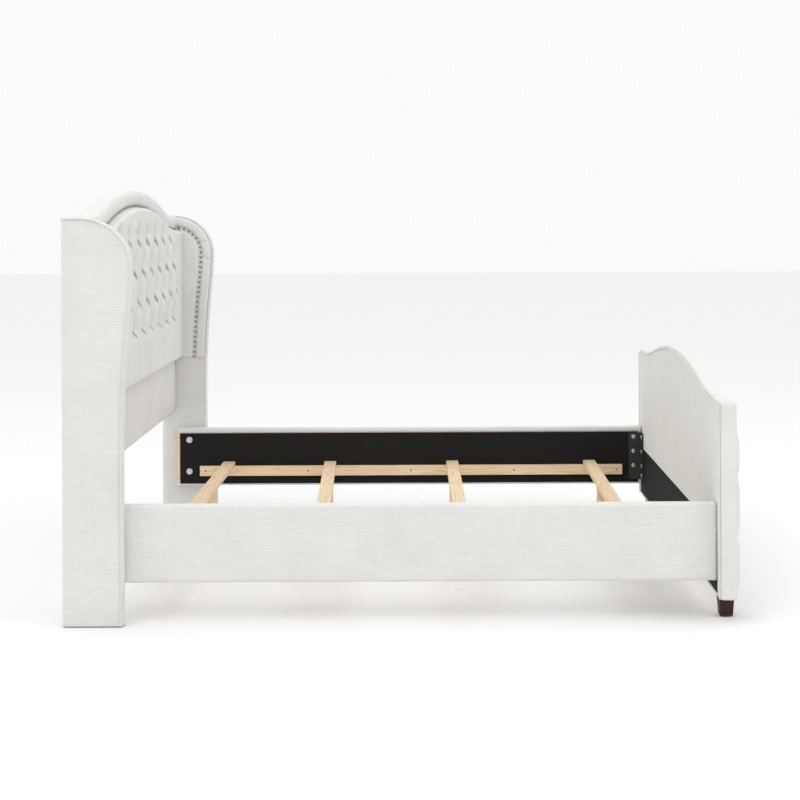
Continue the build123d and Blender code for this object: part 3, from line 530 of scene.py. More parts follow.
def makeWingShell(side, sideName):
    back = bed["headBack"]
    sideRows, frontRows = wingShell["sideRows"], wingShell["frontRows"]
    around = 2 * sideRows + frontRows + wingShell["backRows"]
    # points crowd together toward the front
    spread = lambda t: 1 - (1 - t) ** wingShell["crowding"]

    def place(u, v):
        shares = [0, wingShare(wing["flareBottom"]), wing["straightEnd"], wing["roundEnd"]]
        frontX, z = wingLine(np.interp(u, [0, 0.42, 0.72, 1], shares), 0, back)
        # once round: forward on the outside, across the front, back on the inside, and closed behind
        part = lambda first, count: np.clip((v * around - first) / count, 0, 1)
        outward = part(0, sideRows)
        across = part(sideRows, frontRows)
        inward = part(sideRows + frontRows, sideRows)
        closing = part(2 * sideRows + frontRows, wingShell["backRows"])
        fromBack = spread(outward) * spread(1 - inward) * (frontX - back)
        x = back + fromBack
        depth = np.clip(wingDepth(x, z), 0, None)
        drop = cornerDrop(depth, wingShell["edge"]) + cornerDrop(fromBack, wingShell["backEdge"])
        swell = wingShell["crown"] * soften(depth / 0.06) * soften(fromBack / 0.05) * soften(z / 0.08)
        waves = wingShell["wave"] * ripple(x, z, wingShell["seeds"][side], 0.5) * soften(depth / 0.03)
        outerY = bed["wingOuter"] - wingShell["clothRoom"] - drop + swell + waves
        innerY = bed["railOuter"] + wingShell["innerRoom"] + drop
        y = outerY + (innerY - outerY) * across * (1 - closing)
        return x + wingShell["frontCrown"] * np.sin(math.pi * across), side * y, z

    piece = gridPiece("wingShell_" + sideName, wingShell["rows"], around, place, around=True)
    # the shell is open at the floor
    bpy.ops.object.mode_set(mode="EDIT")
    bpy.ops.mesh.select_all(action="DESELECT")
    bpy.ops.object.mode_set(mode="OBJECT")
    for face in piece.data.polygons:
        face.select = face.center.z < bed["floorGap"] + 0.0005 and face.normal.z < -0.9
    bpy.ops.object.mode_set(mode="EDIT")
    bpy.ops.mesh.delete(type="FACE")
    bpy.ops.object.mode_set(mode="OBJECT")

    def held(x, y, z):
        inside = np.abs(y) < bed["wingOuter"] - wingShell["heldDeep"]
        inside &= wingDepth(x, z) > wingShell["heldEdge"]
        return inside | (x < back + wingShell["heldBack"]) | (z < wingShell["heldFoot"])

    puffPad(piece, held, pressure=2.0, cap=0.0016, stiffness=30, bending=3.0, steps=12)
    wall = piece.modifiers.new("clothWall", "SOLIDIFY")
    wall.thickness = wingShell["cloth"]
    wall.offset = -1
    applyModifier(piece, "clothWall")
    softenEdges(piece, 50)
    return piece


welt = {
    "sides": 8, "unevenness": 0.06, "wingRadius": 0.0027, "wingInset": 0.0036, "innerShare": 0.75,
    "footRadius": 0.0025, "footInset": 0.0125, "footStand": 0.0006,
}


def makeWelt(name, line, outward, radius, count):
    # a piped cord under cloth, swept along a line of points
    def place(u, v):
        spot = np.column_stack(line(u))
        step = 0.5 / count
        way = np.column_stack(line(np.clip(u + step, 0, 1))) - np.column_stack(line(np.clip(u - step, 0, 1)))
        way /= np.maximum(np.linalg.norm(way, axis=1, keepdims=True), 1e-9)
        normal = np.array(outward, dtype=float)
        angle = (v * 2 * math.pi)[:, None]
        twist = (1 + welt["unevenness"] * np.sin(u * count * 2.1))[:, None]
        spot += radius * twist * (np.cos(angle) * normal + np.sin(angle) * np.cross(way, normal))
        return tuple(spot.T)

    return gridPiece(name, count, welt["sides"], place, around=True)


def makeWingWelts(side, sideName):
    radius = welt["wingRadius"]
    thin = welt["innerShare"] * radius
    stop = bed["headFace"] + 0.0103
    outerY = bed["wingOuter"] - radius - hair
    # name, first and last share of the outline, its back end, place across, way out, radius, count
    runs = (
        ("weltOuter", 0, 1, bed["headBack"], outerY, side, radius, 420),
        ("weltLower", 0, wingShare(bed["railBottom"]), stop, wingInside, -side, thin, 60),
        ("weltUpper", wingShare(bed["railTop"] + 0.0005), 1, stop, wingInside, -side, thin, 380),
    )
    welts = []
    for name, first, last, backX, across, way, thickness, count in runs:
        def line(s):
            x, z = wingLine(first + (last - first) * s, welt["wingInset"], backX)
            return x, np.full_like(x, side * across), z

        welts.append(makeWelt(name, line, (0, way, 0), thickness, count))
    return joinPieces(welts, "wingWelt_" + sideName)


wingBorder = {
    "inset": 0.007, "width": 0.041, "rise": 0.0098, "columns": 300, "frontRows": 18, "backRows": 6,
    "gathers": [(0.7645, 0.0042), (0.7025, 0.0048), (0.87, 0.0012), (0.55, 0.0008)],  # place, depth
    "gatherWidth": 0.0042, "wave": 0.0006,
}


def makeWingBorder(side, sideName):
    # the band between the front edge and the nails, gathered where it turns over the top
    stop = bed["headFace"] + 0.0106
    first = wingShare(bed["seam"])
    frontRows, backRows = wingBorder["frontRows"], wingBorder["backRows"]

    def place(u, v):
        s = first + (1 - first) * u
        k = v * (frontRows + backRows)
        w = np.clip(k / frontRows, 0, 1) - np.clip((k - frontRows) / backRows, 0, 1)
        x, z = wingLine(s, wingBorder["inset"] + w * wingBorder["width"], stop)
        arch = (1 - np.abs(2 * w - 1) ** 3.2) ** 0.62
        rise = wingBorder["rise"] * arch
        for middle, depth in wingBorder["gathers"]:
            off = s - middle
            crease = np.exp(-((off - 0.012 * (w - 0.5)) / wingBorder["gatherWidth"]) ** 2)
            fold = 0.35 * np.exp(-((off - 0.014) / 0.008) ** 2)
            rise += depth * (fold - crease) * np.sin(math.pi * w)
        rise += wingBorder["wave"] * ripple(s * 1.6, w * 0.04, 21, 0.2) * arch
        endRound = soften(np.minimum(u, 1 - u) / 0.012 + 0.25)
        return x, side * (wingInside - np.where(k <= frontRows, rise, 0) * endRound), z

    name = "wingBorder_" + sideName
    return gridPiece(name, wingBorder["columns"], frontRows + backRows, place, around=True)


wingPanel = {
    "inset": 0.062, "rise": 0.008, "roll": 0.014, "back": 0.0135, "stand": 0.0004, "wave": 0.0007,
    "columns": 26, "rows": 110,
}


def makeWingPanel(side, sideName):
    backX = bed["padFront"] - wingPanel["back"]
    shares = [wingShare(bed["seam"]), wing["straightEnd"], wing["roundEnd"]]

    def surface(a, b, rim):
        frontX, z = wingLine(np.interp(b, [0, 0.7, 1], shares), wingPanel["inset"], backX)
        frontX = np.maximum(frontX, backX + 0.001)
        x = backX + a * (frontX - backX)
        depth = np.minimum(np.minimum(x - backX, frontX - x), z - bed["seam"])
        depth = np.minimum(depth, np.clip(wingDepth(x, z) - wingPanel["inset"], 0, None))
        rise = wingPanel["rise"] * roundOff(depth / wingPanel["roll"])
        rise += wingPanel["wave"] * ripple(x, z, 31, 0.22) * soften(depth / 0.02)
        return x, side * (wingInside - np.where(rim, 0, rise + wingPanel["stand"])), z

    return foldedSheet("wingPanel_" + sideName, wingPanel["columns"], wingPanel["rows"], surface)


for side, sideName in sides:
    finishPiece(makeWingShell(side, sideName), "wing_cover_" + sideName, linen)
    finishPiece(makeWingWelts(side, sideName), "wing_welt_" + sideName, linen)
    finishPiece(makeWingBorder(side, sideName), "wing_border_pad_" + sideName, linen)
    finishPiece(makeWingPanel(side, sideName), "wing_inner_panel_" + sideName, linen)
print("stage: wings made")


# Tufted pads

def tuftSteps(y, z, facts):
    # a place counted in half pitches across and in rows down from the top row
    return y / (facts["pitch"] / 2) + facts["shift"], (facts["topRow"] - z) / facts["rowStep"]


def fromHealed(y, z, facts, wide=1.0, tall=1.0):
    # distances from the tufts that are left out
    return [np.hypot((np.abs(y) - healY) / wide, (z - healZ) / tall) for healY, healZ in facts["healed"]]


def tuftPattern(y, z, facts):
    # 0 in a tuft, 1 on the crown of a diamond; pleats run straight on above and below the diamonds
    t, s = tuftSteps(y, z, facts)
    last = facts["rows"] - 1
    signed = lambda q: np.mod(q, 2) - 1
    distance = lambda q: np.abs(signed(q))
    climb = lambda d, power: 1 - (1 - np.clip(d, 0, 1)) ** power
    # cloth hangs over the crease below it, and rises gently from the one above
    hang = lambda q, most: climb(distance(q), np.where(signed(q) < 0, most, facts["steep"]))
    deep = facts["crease"]
    nearTuft = lambda d: deep + facts["fold"] * np.exp(-(d / 0.5) ** 2)
    high = np.maximum(distance(s + t), distance(s - t))
    fold = nearTuft(high)
    diamond = fold * hang(s + t, facts["hangLeft"]) * hang(s - t, facts["hang"])
    diamond += (1 - fold) * climb(high, 1.6)

    def pleats(d, away, reach):
        start = nearTuft(d) * climb(d, facts["steep"]) ** 2 + (1 - nearTuft(d)) * climb(d, 1.6)
        crease = 1 - facts["pleatDepth"] * (1 - soften(away / reach))
        straight = crease + (1 - crease) * climb(d * 1.6, facts["steep"])
        return start + (straight - start) * soften(away / 0.5)

    above = pleats(distance(t), np.clip(-s, 0, None), facts["pleatReach"])
    below = pleats(distance(t + last), np.clip(s - last, 0, None), facts["pleatReach"])
    result = np.where(s < 0, above, np.where(s > last, below, diamond))
    # beyond the outermost tufts the pleats run level, toward the sides
    outer = facts["outerTuft"] / (facts["pitch"] / 2)
    beyond = np.abs(y) / (facts["pitch"] / 2) - outer
    level = pleats(distance(s + outer + facts["shift"]), np.clip(beyond, 0, None), facts["sidePleatReach"])
    level = 1 - (1 - level) * soften((s + 1.0) / 0.6) * soften((last + 1.0 - s) / 0.6)
    result = np.where(beyond > 0, level, result)
    for away in fromHealed(y, z, facts, 0.060, 0.055):
        result = 1 - (1 - result) * soften(away - 0.35)
    return result


def tuftPockets(y, z, facts):
    # 1 at the middle of a tuft, falling to 0 a little way off; pockets are taller than wide
    t, s = tuftSteps(y, z, facts)
    row = np.clip(np.round(s), 0, facts["rows"] - 1)
    moved = np.mod(row, 2)
    middle = 2 * np.round((t - 1 + moved) / 2) + 1 - moved
    offY = (t - middle) * facts["pitch"] / 2
    offZ = (s - row) * facts["rowStep"]
    kept = np.abs(y) < facts["outerTuft"] + 0.03
    for away in fromHealed(y, z, facts):
        kept &= away > 0.05
    return np.exp(-np.hypot(offY / facts["pocketWide"], offZ / facts["pocketTall"]) ** 2) * kept


def tuftedPad(name, facts, topLine):
    # the front of a pad with its diamonds, rolled down at its edges and closed behind
    half, bottom, corner = facts["half"], facts["bottom"], facts["cornerReach"]

    def surface(a, b, rim):
        y = -half + 2 * half * a
        top = topLine(y)
        z = bottom + (top - bottom) * b
        # the top corners rise slowly from the border
        slow = facts["cornerRoll"] * soften((np.abs(y) - half + corner) / corner)
        topRise = (top - z) / (facts["roll"] + slow)
        bottomRise = (z - bottom) / (facts["roll"] + 0.25 * slow)
        sideRoll = roundOff(np.minimum(y + half, half - y) / facts["sideRoll"])
        sideRoll = facts["sideFloor"] + (1 - facts["sideFloor"]) * sideRoll
        roll = roundOff(np.minimum(bottomRise, topRise))
        pattern = tuftPattern(y, z, facts)
        x = facts["edgeX"] + roll * sideRoll * (facts["base"] + facts["rise"] * pattern)
        x -= facts["pocket"] * tuftPockets(y, z, facts) * roll * sideRoll
        x += facts["wave"] * ripple(y, z, facts["seed"], 0.16) * roll * pattern
        return np.where(rim, facts["backX"], x), y, z

    pad = foldedSheet(name, facts["gridColumns"], facts["gridRows"], surface)
    shadeFolds(pad, facts)
    return pad


def shadeFolds(pad, facts):
    # painted shade: an attribute that is 1 in the folds beside the tufts and 0 on open cloth
    _, y, z = readSpots(pad.data).T
    t, s = tuftSteps(y, z, facts)
    depth = 1 - tuftPattern(y, z, facts)
    shade = 0
    # painted shade on the wall above each fold that runs down and across from its tuft, and fainter on its
    # other side
    for way, share in ((1, 1.0), (-1, 0.6)):
        q = np.mod(s - way * t, 2) - 1
        along = np.mod(s + way * t - 1, 2) / 2
        wide = 0.14 + 0.30 * along
        wall = np.where(q < 0, soften((wide + q) / (0.8 * wide)), np.exp(-q / 0.04))
        wall = share * wall * soften((depth - 0.04) / 0.20)
        shade = np.maximum(shade, wall * soften((facts["shadeReach"] - along) / 0.35))
    # the painted shade is a little stronger in some folds than in others
    drawn = np.sin(2.7 * np.floor((s + t - 1) / 2) + 4.1 * np.round((s - t - 1) / 2))
    shade *= 0.81 + 0.19 * drawn
    # painted shade in the pocket just above each tuft
    shade += 0.35 * tuftPockets(y, z - facts["pocketTall"] / 2, facts)
    shade *= (s > -0.35) & (s < facts["rows"] - 0.65) & (np.abs(y) < facts["outerTuft"] + 0.03)
    for away in fromHealed(y, z, facts):
        shade *= away > 0.06
    layer = pad.data.attributes.new("foldShade", "FLOAT", "POINT")
    layer.data.foreach_set("value", np.clip(shade, 0, 1))


tufting = {
    "pitch": 0.196, "outerTuft": 0.882, "cornerReach": 0.10, "pleatReach": 1.6, "wave": 0.0009,
    "crease": 0.09, "fold": 0.70, "steep": 2.6, "hang": 14.0, "hangLeft": 6.0, "shadeReach": 0.72,
    "gridRows": 176,
}
headTufts = {
    **tufting, "half": bed["panelHalf"] - 0.0003, "bottom": bed["seam"], "gridColumns": 520, "seed": 5,
    "backX": bed["boardFront"] + hair, "edgeX": bed["headFace"] - 0.003, "base": 0.0145, "rise": 0.025,
    "roll": 0.017, "sideRoll": 0.017, "sideFloor": 0.5, "cornerRoll": 0.0,
    "pleatDepth": 0.26, "sidePleatReach": 1.6, "pocket": 0.014, "pocketWide": 0.018, "pocketTall": 0.022,
    "rowStep": 0.115, "topRow": 1.250, "rows": 4, "shift": 0.0, "healed": [(0.882, 1.250)],
}
footTufts = {
    **tufting, "half": 0.9995, "bottom": bed["footBottom"] + 0.0004, "gridColumns": 500, "seed": 8,
    "backX": bed["footBoardFront"] + hair, "edgeX": bed["footBoardFront"] + 0.001, "base": 0.010,
    "rise": 0.0215, "roll": 0.014, "sideRoll": 0.030, "sideFloor": 0.3, "cornerRoll": 0.11,
    "pleatDepth": 0.38, "sidePleatReach": 4.0, "pocket": 0.008, "pocketWide": 0.015, "pocketTall": 0.019,
    "rowStep": 0.102, "topRow": 0.567, "rows": 5, "shift": 1.0, "healed": [],
}
headPad = tuftedPad("headboardTufting", headTufts, lambda y: camelback(y, nailCrest) + 0.0022)
finishPiece(headPad, "headboard_tufted_pad", linen)
footPad = tuftedPad("footboardTufting", footTufts, lambda y: camelback(y, footCrest, 0.0756))
finishPiece(footPad, "footboard_tufted_pad", linen)
print("stage: tufted pads made")


# Crest band of the headboard, lower pad and back cloth

crestBand = {"columns": 300, "rows": 50, "frontWave": 0.0011, "topWave": 0.0008}


def makeCrestBand():
    back, face, board = bed["headBack"], bed["headFace"], bed["boardFront"]
    # place along X, share of the way up from the nail line to the crest, and what is added to that
    outline = [
        (back, 1, -0.0137), (back, 1, -0.010), (back + 0.0012, 1, -0.0045), (back + 0.004, 1, -0.0015),
        (back + 0.009, 1, 0), (back + 0.022, 1, 0.0012), (back + 0.036, 1, 0.0014),
        (face - 0.006, 1, 0.0008), (face + 0.001, 1, -0.0012), (face + 0.006, 1, -0.0048),
        (face + 0.0095, 1, -0.0105), (face + 0.0115, 1, -0.018), (face + 0.0128, 0.70, 0),
        (face + 0.0130, 0.55, 0), (face + 0.0118, 0.34, 0), (face + 0.0096, 0, 0.0180),
        (face + 0.0062, 0, 0.0132), (face + 0.0014, 0, 0.0112), (face + 0.0001, 0, 0.0108),
        (face, 0, 0.007), (face, 0, 0.0003), (face - 0.008, 0, 0.0003), (board + hair, 0, 0.0003),
        (board + hair, 1, -0.0134), (back + 0.02, 1, -0.0134),
    ]

    def place(u, v):
        y = (-1 + 2 * u) * (bed["panelHalf"] - hair)
        low = camelback(y, nailCrest)
        tall = camelback(y, headCrest) - low
        k = v * len(outline)
        first = np.floor(k).astype(int) % len(outline)
        second = (first + 1) % len(outline)
        part = k - np.floor(k)
        points = np.array(outline)
        x, share, rise = (points[first] * (1 - part)[:, None] + points[second] * part[:, None]).T
        z = low + share * tall + rise
        x = x + np.where((k > 8) & (k < 16), crestBand["frontWave"] * ripple(y, z, 12, 0.14), 0)
        z = z + np.where((k > 4) & (k < 9), crestBand["topWave"] * ripple(y, x, 13, 0.2), 0)
        return x, y, z

    return gridPiece("crestBand", crestBand["columns"], crestBand["rows"], place, around=True)


crest = makeCrestBand()
puffPad(crest, lambda x, y, z: (x <= bed["headFace"] + 0.0062) & (z <= camelback(y, headCrest) - 0.004),
        pressure=3.0, cap=0.0025)
finishPiece(crest, "headboard_crest_band", linen)

lowerPad = {
    "wrap": 0.003, "wrapBack": -1.0945, "edge": 0.006, "topEdge": 0.004, "wave": 0.0007,
    "columns": 150, "rows": 60,
    # before the face, above the bottom
    "front": [(0.0008, 0.03), (0.0022, 0.08), (0.0026, 0.13), (0.0022, 0.18)],
}


def makeLowerPad():
    face, board, low = bed["headFace"], bed["boardFront"] + hair, bed["headBottom"]
    top, edge, topEdge = bed["seam"] - 0.0004, lowerPad["edge"], lowerPad["topEdge"]
    section = [(lowerPad["wrapBack"], low + lowerPad["wrap"]), (lowerPad["wrapBack"], low)]
    section += [(face - 0.02, low), (face - edge, low)]
    section += arcPoints((face - edge, low + edge), edge, -75, 0)
    section += [(face + out, low + up) for out, up in lowerPad["front"]] + [(face + 0.0006, top - 0.014)]
    section += arcPoints((face - topEdge, top - topEdge), topEdge, 10, 90, 4)
    section += [(board, top), (board, low + lowerPad["wrap"])]

    def path(u, a, b):
        y = (-1 + 2 * u) * (bed["panelHalf"] - 0.0004)
        return a + (a > face) * lowerPad["wave"] * ripple(y, b, 17, 0.4), y, b

    return ringPiece("lowerPanel", section, path, lowerPad["columns"], lowerPad["rows"])


lower = makeLowerPad()
puffPad(lower, lambda x, y, z: (x < bed["headFace"] + 0.0004) | (np.abs(y) > bed["panelHalf"] - 0.004),
        pressure=2.5, cap=0.0030)
finishPiece(lower, "headboard_lower_pad", linen)


def clothPlate(name, facts):
    # cloth stretched flat over a board, a little uneven, closed behind
    half, bottom = facts["half"], facts["bottom"]
    outward = np.sign(facts["face"] - facts["back"])

    def surface(a, b, rim):
        y = -half + 2 * half * a
        top = camelback(y, facts["crest"], facts["inset"]) - facts["drop"]
        z = bottom + (top - bottom) * b
        edge = np.minimum(np.minimum(y + half, half - y), np.minimum(z - bottom, top - z))
        wave = 0.5 + 0.5 * ripple(y, z, facts["seed"], facts["waveReach"])
        x = facts["face"] + outward * facts["sag"] * wave * soften(edge / 0.03)
        return np.where(rim, facts["back"], x), y, z

    return foldedSheet(name, facts["columns"], facts["rows"], surface)


backFacts = {
    "face": bed["headBack"] + 0.0003, "back": bed["headBack"] + 0.0014, "half": 1.0169,
    "bottom": bed["headBottom"], "crest": headCrest, "inset": 0.0, "drop": 0.0141,
    "sag": 0.0006, "seed": 41, "waveReach": 0.5, "columns": 160, "rows": 80,
}
backSheet = clothPlate("backSheet", backFacts)
finishPiece(backSheet, "headboard_back_cover", backCloth)
print("stage: headboard made")


# Footboard: border pad, inside cloth, welt, lining

footEdge = {"corner": 0.018, "leastCorner": 0.0015, "side": 0.2}


def footLine(t, inset):
    # the footboard's outline drawn in by inset; t runs from the left foot over the crest to the right foot
    side = footEdge["side"]
    half = bed["wingOuter"] - inset
    corner = np.maximum(footEdge["corner"] - inset, footEdge["leastCorner"])
    y = -half + 2 * half * np.clip((t - side) / (1 - 2 * side), 0, 1)
    topZ = camelback(y, footCrest, inset) - cornerDrop(half - np.abs(y), corner)
    up = np.clip(np.minimum(t, 1 - t) / side, 0, 1)
    sideZ = bed["footBottom"] + up * (footCrest["shoulder"] - inset - corner - bed["footBottom"])
    return y, np.where((t < side) | (t > 1 - side), sideZ, topZ)


footBorder = {
    "backEdge": 0.009, "frontEdge": 0.0105, "wave": 0.0008, "columns": 420, "rows": 56,
    # before the board's front, inside the outline
    "front": [(0.0080, 0.018), (0.0088, 0.030), (0.0090, 0.044), (0.0084, 0.055), (0.0066, 0.0600),
              (0.0043, 0.0614), (0.0040, 0.0630), (0.0040, 0.0748), (0.0002, 0.0750), (0.0002, 0.0115)],
}


def makeFootBorder():
    # first number: place along X, second: how far inside the outline
    back, front = bed["footFace"] + 0.003, bed["footBoardFront"]
    backEdge, frontEdge = footBorder["backEdge"], footBorder["frontEdge"]
    section = [(back, 0.0115), (back, backEdge)] + arcPoints((back + backEdge, backEdge), backEdge, 180, 270)
    section += [(back + 0.020, -0.0012), (back + 0.032, -0.0014), (front - 0.0045, 0.0)]
    section += arcPoints((front - 0.0035, frontEdge), frontEdge, 280, 350)
    section += [(front + out, inside) for out, inside in footBorder["front"]]

    def path(u, a, b):
        # points crowd together where the outline turns its corners
        t = np.interp(u, [0, 0.22, 0.28, 0.72, 0.78, 1.0], [0, 0.197, 0.212, 0.788, 0.803, 1.0])
        y, z = footLine(t, b)
        free = (a > front + 0.009) | (b < 0.002)
        return a + footBorder["wave"] * ripple(y, z + b, 51, 0.17) * free, y, z

    return ringPiece("footboardBorder", section, path, footBorder["columns"], footBorder["rows"])


def borderHeld(x, y, z):
    inside = (x < bed["footBoardFront"] + 0.0048) & (np.abs(y) < bed["wingOuter"] - 0.0015)
    return inside | (z < bed["footBottom"] + 0.008) | (x < bed["footFace"] + 0.010)


border = makeFootBorder()
puffPad(border, borderHeld, pressure=2.5, cap=0.0022)
finishPiece(border, "footboard_border_pad", linen)

insideFacts = {
    "face": bed["footFace"] - 0.0001, "back": bed["footFace"] + 0.0028, "half": 1.0648,
    "bottom": bed["footBottom"] + hair, "crest": footCrest, "inset": 0.0102, "drop": 0.0,
    "sag": 0.0012, "seed": 61, "waveReach": 0.45, "columns": 200, "rows": 90,
}
insideCloth = clothPlate("footboardInside", insideFacts)
finishPiece(insideCloth, "footboard_inner_cover", insideLightLinen)


def footWeltLine(t):
    y, z = footLine(t, welt["footInset"])
    return np.full_like(y, bed["footFace"] - welt["footStand"]), y, z


footWelt = makeWelt("footboardWelt", footWeltLine, (-1, 0, 0), welt["footRadius"], 520)
finishPiece(footWelt, "footboard_welt", linen)


def makeLining(name, facts, turn):
    # black cloth stapled flat; turn makes a place of the distances along it, off its board and up
    def surface(a, b, rim):
        along = facts["first"] + (facts["last"] - facts["first"]) * a
        up = facts["low"] + (facts["high"] - facts["low"]) * b
        off = facts["stand"] + facts["wave"] * ripple(along, up, facts["seed"], 0.25)
        return turn(along, np.where(rim, facts["rear"], off), up)

    return foldedSheet(name, facts["columns"], facts["rows"], surface)


footLining = {
    "first": -1.0185, "last": 1.0185, "low": 0.0925, "high": 0.2915, "columns": 160, "rows": 22,
    "stand": -0.0016, "rear": -hair, "wave": 0.0003, "seed": 73,
}
lining = makeLining("footboardLining", footLining, lambda along, off, up: (bed["footFace"] + off, along, up))
finishPiece(lining, "footboard_lining", liningCloth)
print("stage: footboard made")


# Side rails

railCover = {
    "head": -1.0276, "foot": 1.0256, "edge": 0.007, "boardRoom": 0.0052, "lip": 0.0028,
    "topLip": 0.022, "bottomLip": 0.008, "pull": 0.0004, "lipWave": 0.00096, "columns": 220, "rows": 96,
}


def makeRailCover(side, sideName):
    low, high, inner = bed["railBottom"], bed["railTop"], bed["railInner"]
    outer, board = bed["railOuter"] - 0.0004, bed["railOuter"] - 0.0102
    edge, lip = railCover["edge"], inner + railCover["lip"]
    boardLow, boardHigh = low + railCover["boardRoom"], high - railCover["boardRoom"]
    topLip, bottomLip = high - railCover["topLip"], low + railCover["bottomLip"]
    section = [(lip, bottomLip), (inner + 0.0004, bottomLip), (inner, low + 0.005)]
    section += arcPoints((inner + 0.003, low + 0.003), 0.003, 190, 270, 4)
    section += [(inner + 0.02, low), (outer - 0.016, low)]
    section += arcPoints((outer - 0.0075, low + edge), edge, 280, 360, 6)
    section += [(outer - 0.0001, low + 0.03), (outer, low + 0.08), (outer, 0.5 * (low + high))]
    section += [(outer, high - 0.08), (outer - 0.0001, high - 0.03)]
    section += arcPoints((outer - 0.0075, high - edge), edge, 0, 80, 6)
    section += [(outer - 0.016, high + 0.0003), (inner + 0.024, high + 0.0006), (inner + 0.008, high + 0.0001)]
    section += arcPoints((inner + 0.0035, high - 0.0035), 0.0035, 95, 175, 4)
    section += [(inner - 0.0003, high - 0.010), (inner, topLip + 0.002), (inner + 0.0006, topLip)]
    section += [(lip, topLip), (lip, boardHigh), (board, boardHigh), (board, boardLow), (lip, boardLow)]

    def path(u, a, b):
        x = railCover["head"] + (railCover["foot"] - railCover["head"]) * u
        outside = soften((a - (outer - 0.006)) / 0.005)
        y = a + outside * (railCover["pull"] * ripple(x, b, 81, 0.5) - 0.0006)
        # the free edge of the upper lip is a little wavy
        free = (a < inner + 0.002) & (b > high - 0.03) & (b < topLip + 0.003)
        return x, side * y, b + free * railCover["lipWave"] * np.sin(x * 61 + 2.0 * np.sin(x * 23))

    return ringPiece("railCover_" + sideName, section, path, railCover["columns"], railCover["rows"])


railLining = {
    "first": -1.012, "last": 1.010, "low": 0.1405, "high": 0.3615, "columns": 160, "rows": 24,
    "stand": 0.0006, "rear": 0.0026, "wave": 0.0005, "seed": 71,
}
for side, sideName in sides:
    finishPiece(makeRailCover(side, sideName), "rail_cover_" + sideName, linen)
    turn = lambda along, off, up: (along, side * (bed["railInner"] + off), up)
    lining = makeLining("railLining_" + sideName, railLining, turn)
    finishPiece(lining, "rail_lining_" + sideName, liningCloth)
print("stage: rails made")


# Nailheads, bolts and buttons: one modelled, then copied to the place of each of the node's solids

def solidBoxes(nodeName):
    # the lowest and highest corner of every loose solid of a node
    source = bpy.data.objects[nodeName]
    copy = source.copy()
    copy.data = source.data.copy()
    bpy.context.collection.objects.link(copy)
    copy.hide_set(False)
    pick(copy)
    editWhole(
        lambda: bpy.ops.mesh.remove_doubles(threshold=0.00002),
        lambda: bpy.ops.mesh.separate(type="LOOSE"),
    )
    parts = list(bpy.context.selected_objects)
    spots = [readSpots(part.data) for part in parts]
    for part in parts:
        bpy.data.objects.remove(part, do_unlink=True)
    return [(places.min(axis=0), places.max(axis=0)) for places in spots]


def copyOnto(model, places, name):
    # each place is a point and the way that the copy faces; the copies are joined into one piece
    copies = []
    for point, way in places:
        copy = model.copy()
        copy.data = model.data.copy()
        copy.location = point
        copy.rotation_euler = Vector((0, 0, 1)).rotation_difference(Vector(way)).to_euler()
        bpy.context.collection.objects.link(copy)
        copies.append(copy)
    bpy.data.objects.remove(model, do_unlink=True)
    bpy.context.view_layer.update()
    piece = joinPieces(copies, name)
    bpy.ops.object.transform_apply(location=True, rotation=True, scale=True)
    softenEdges(piece, 60)
    return piece


def makeDome(facts, flatBack):
    # a low dome at the origin that faces up; a flat back cuts its lower half off
    clearSelection()
    bpy.ops.mesh.primitive_uv_sphere_add(
        segments=facts["segments"], ring_count=facts["rings"], radius=facts["radius"])
    model = bpy.context.object
    if flatBack:
        editWhole(lambda: bpy.ops.mesh.bisect(
            plane_co=(0, 0, 0), plane_no=(0, 0, 1), clear_inner=True, use_fill=True))
    editWhole(lambda: bpy.ops.transform.resize(value=(1, 1, facts["height"] / facts["radius"])))
    return model


nailhead = {"radius": 0.0056, "height": 0.0040, "segments": 10, "rings": 8}
footNails = {"pitch": 0.022, "inset": 0.068, "face": 1.081}

nailPlaces = []
for low, high in solidBoxes("nailheads"):
    x, y, z = (low + high) / 2
    if high[1] - low[1] < 0.0055:  # a nail that faces across the bed, on a wing
        side = math.copysign(1, y)
        nailPlaces.append(((x, side * bed["railOuter"], z), (0, -side, 0)))
    else:
        nailPlaces.append(((bed["headFace"], y, z), (1, 0, 0)))
lineY, lineZ = footLine(np.linspace(0, 1, 4001), footNails["inset"])
length = np.concatenate([[0], np.cumsum(np.hypot(np.diff(lineY), np.diff(lineZ)))])
count = int(length[-1] / footNails["pitch"])
for spot in (np.arange(count) + 0.5) / count * length[-1]:
    y, z = np.interp(spot, length, lineY), np.interp(spot, length, lineZ)
    nailPlaces.append(((footNails["face"], y, z), (1, 0, 0)))
nails = copyOnto(makeDome(nailhead, flatBack=True), nailPlaces, "nailheadTrim")
finishPiece(nails, "nailheads", antiqueMetal)

boltParts = {
    "sides": 24, "edge": 0.0012, "socketRadius": 0.0031, "socketDepth": 0.0026,
    "shankSides": 12, "shankRadius": 0.0037,
}
boltKinds = (  # node, piece, radius and height of the head
    ("bracket_bolts", "bracketBolts", 0.0092, 0.005),
    ("wing_bolts", "wingBolts", 0.0137, 0.0035),
)


def addCylinder(sideCount, radius, depth, middle):
    clearSelection()
    bpy.ops.mesh.primitive_cylinder_add(vertices=sideCount, radius=radius, depth=depth, location=(0, 0, middle))
    return bpy.context.object


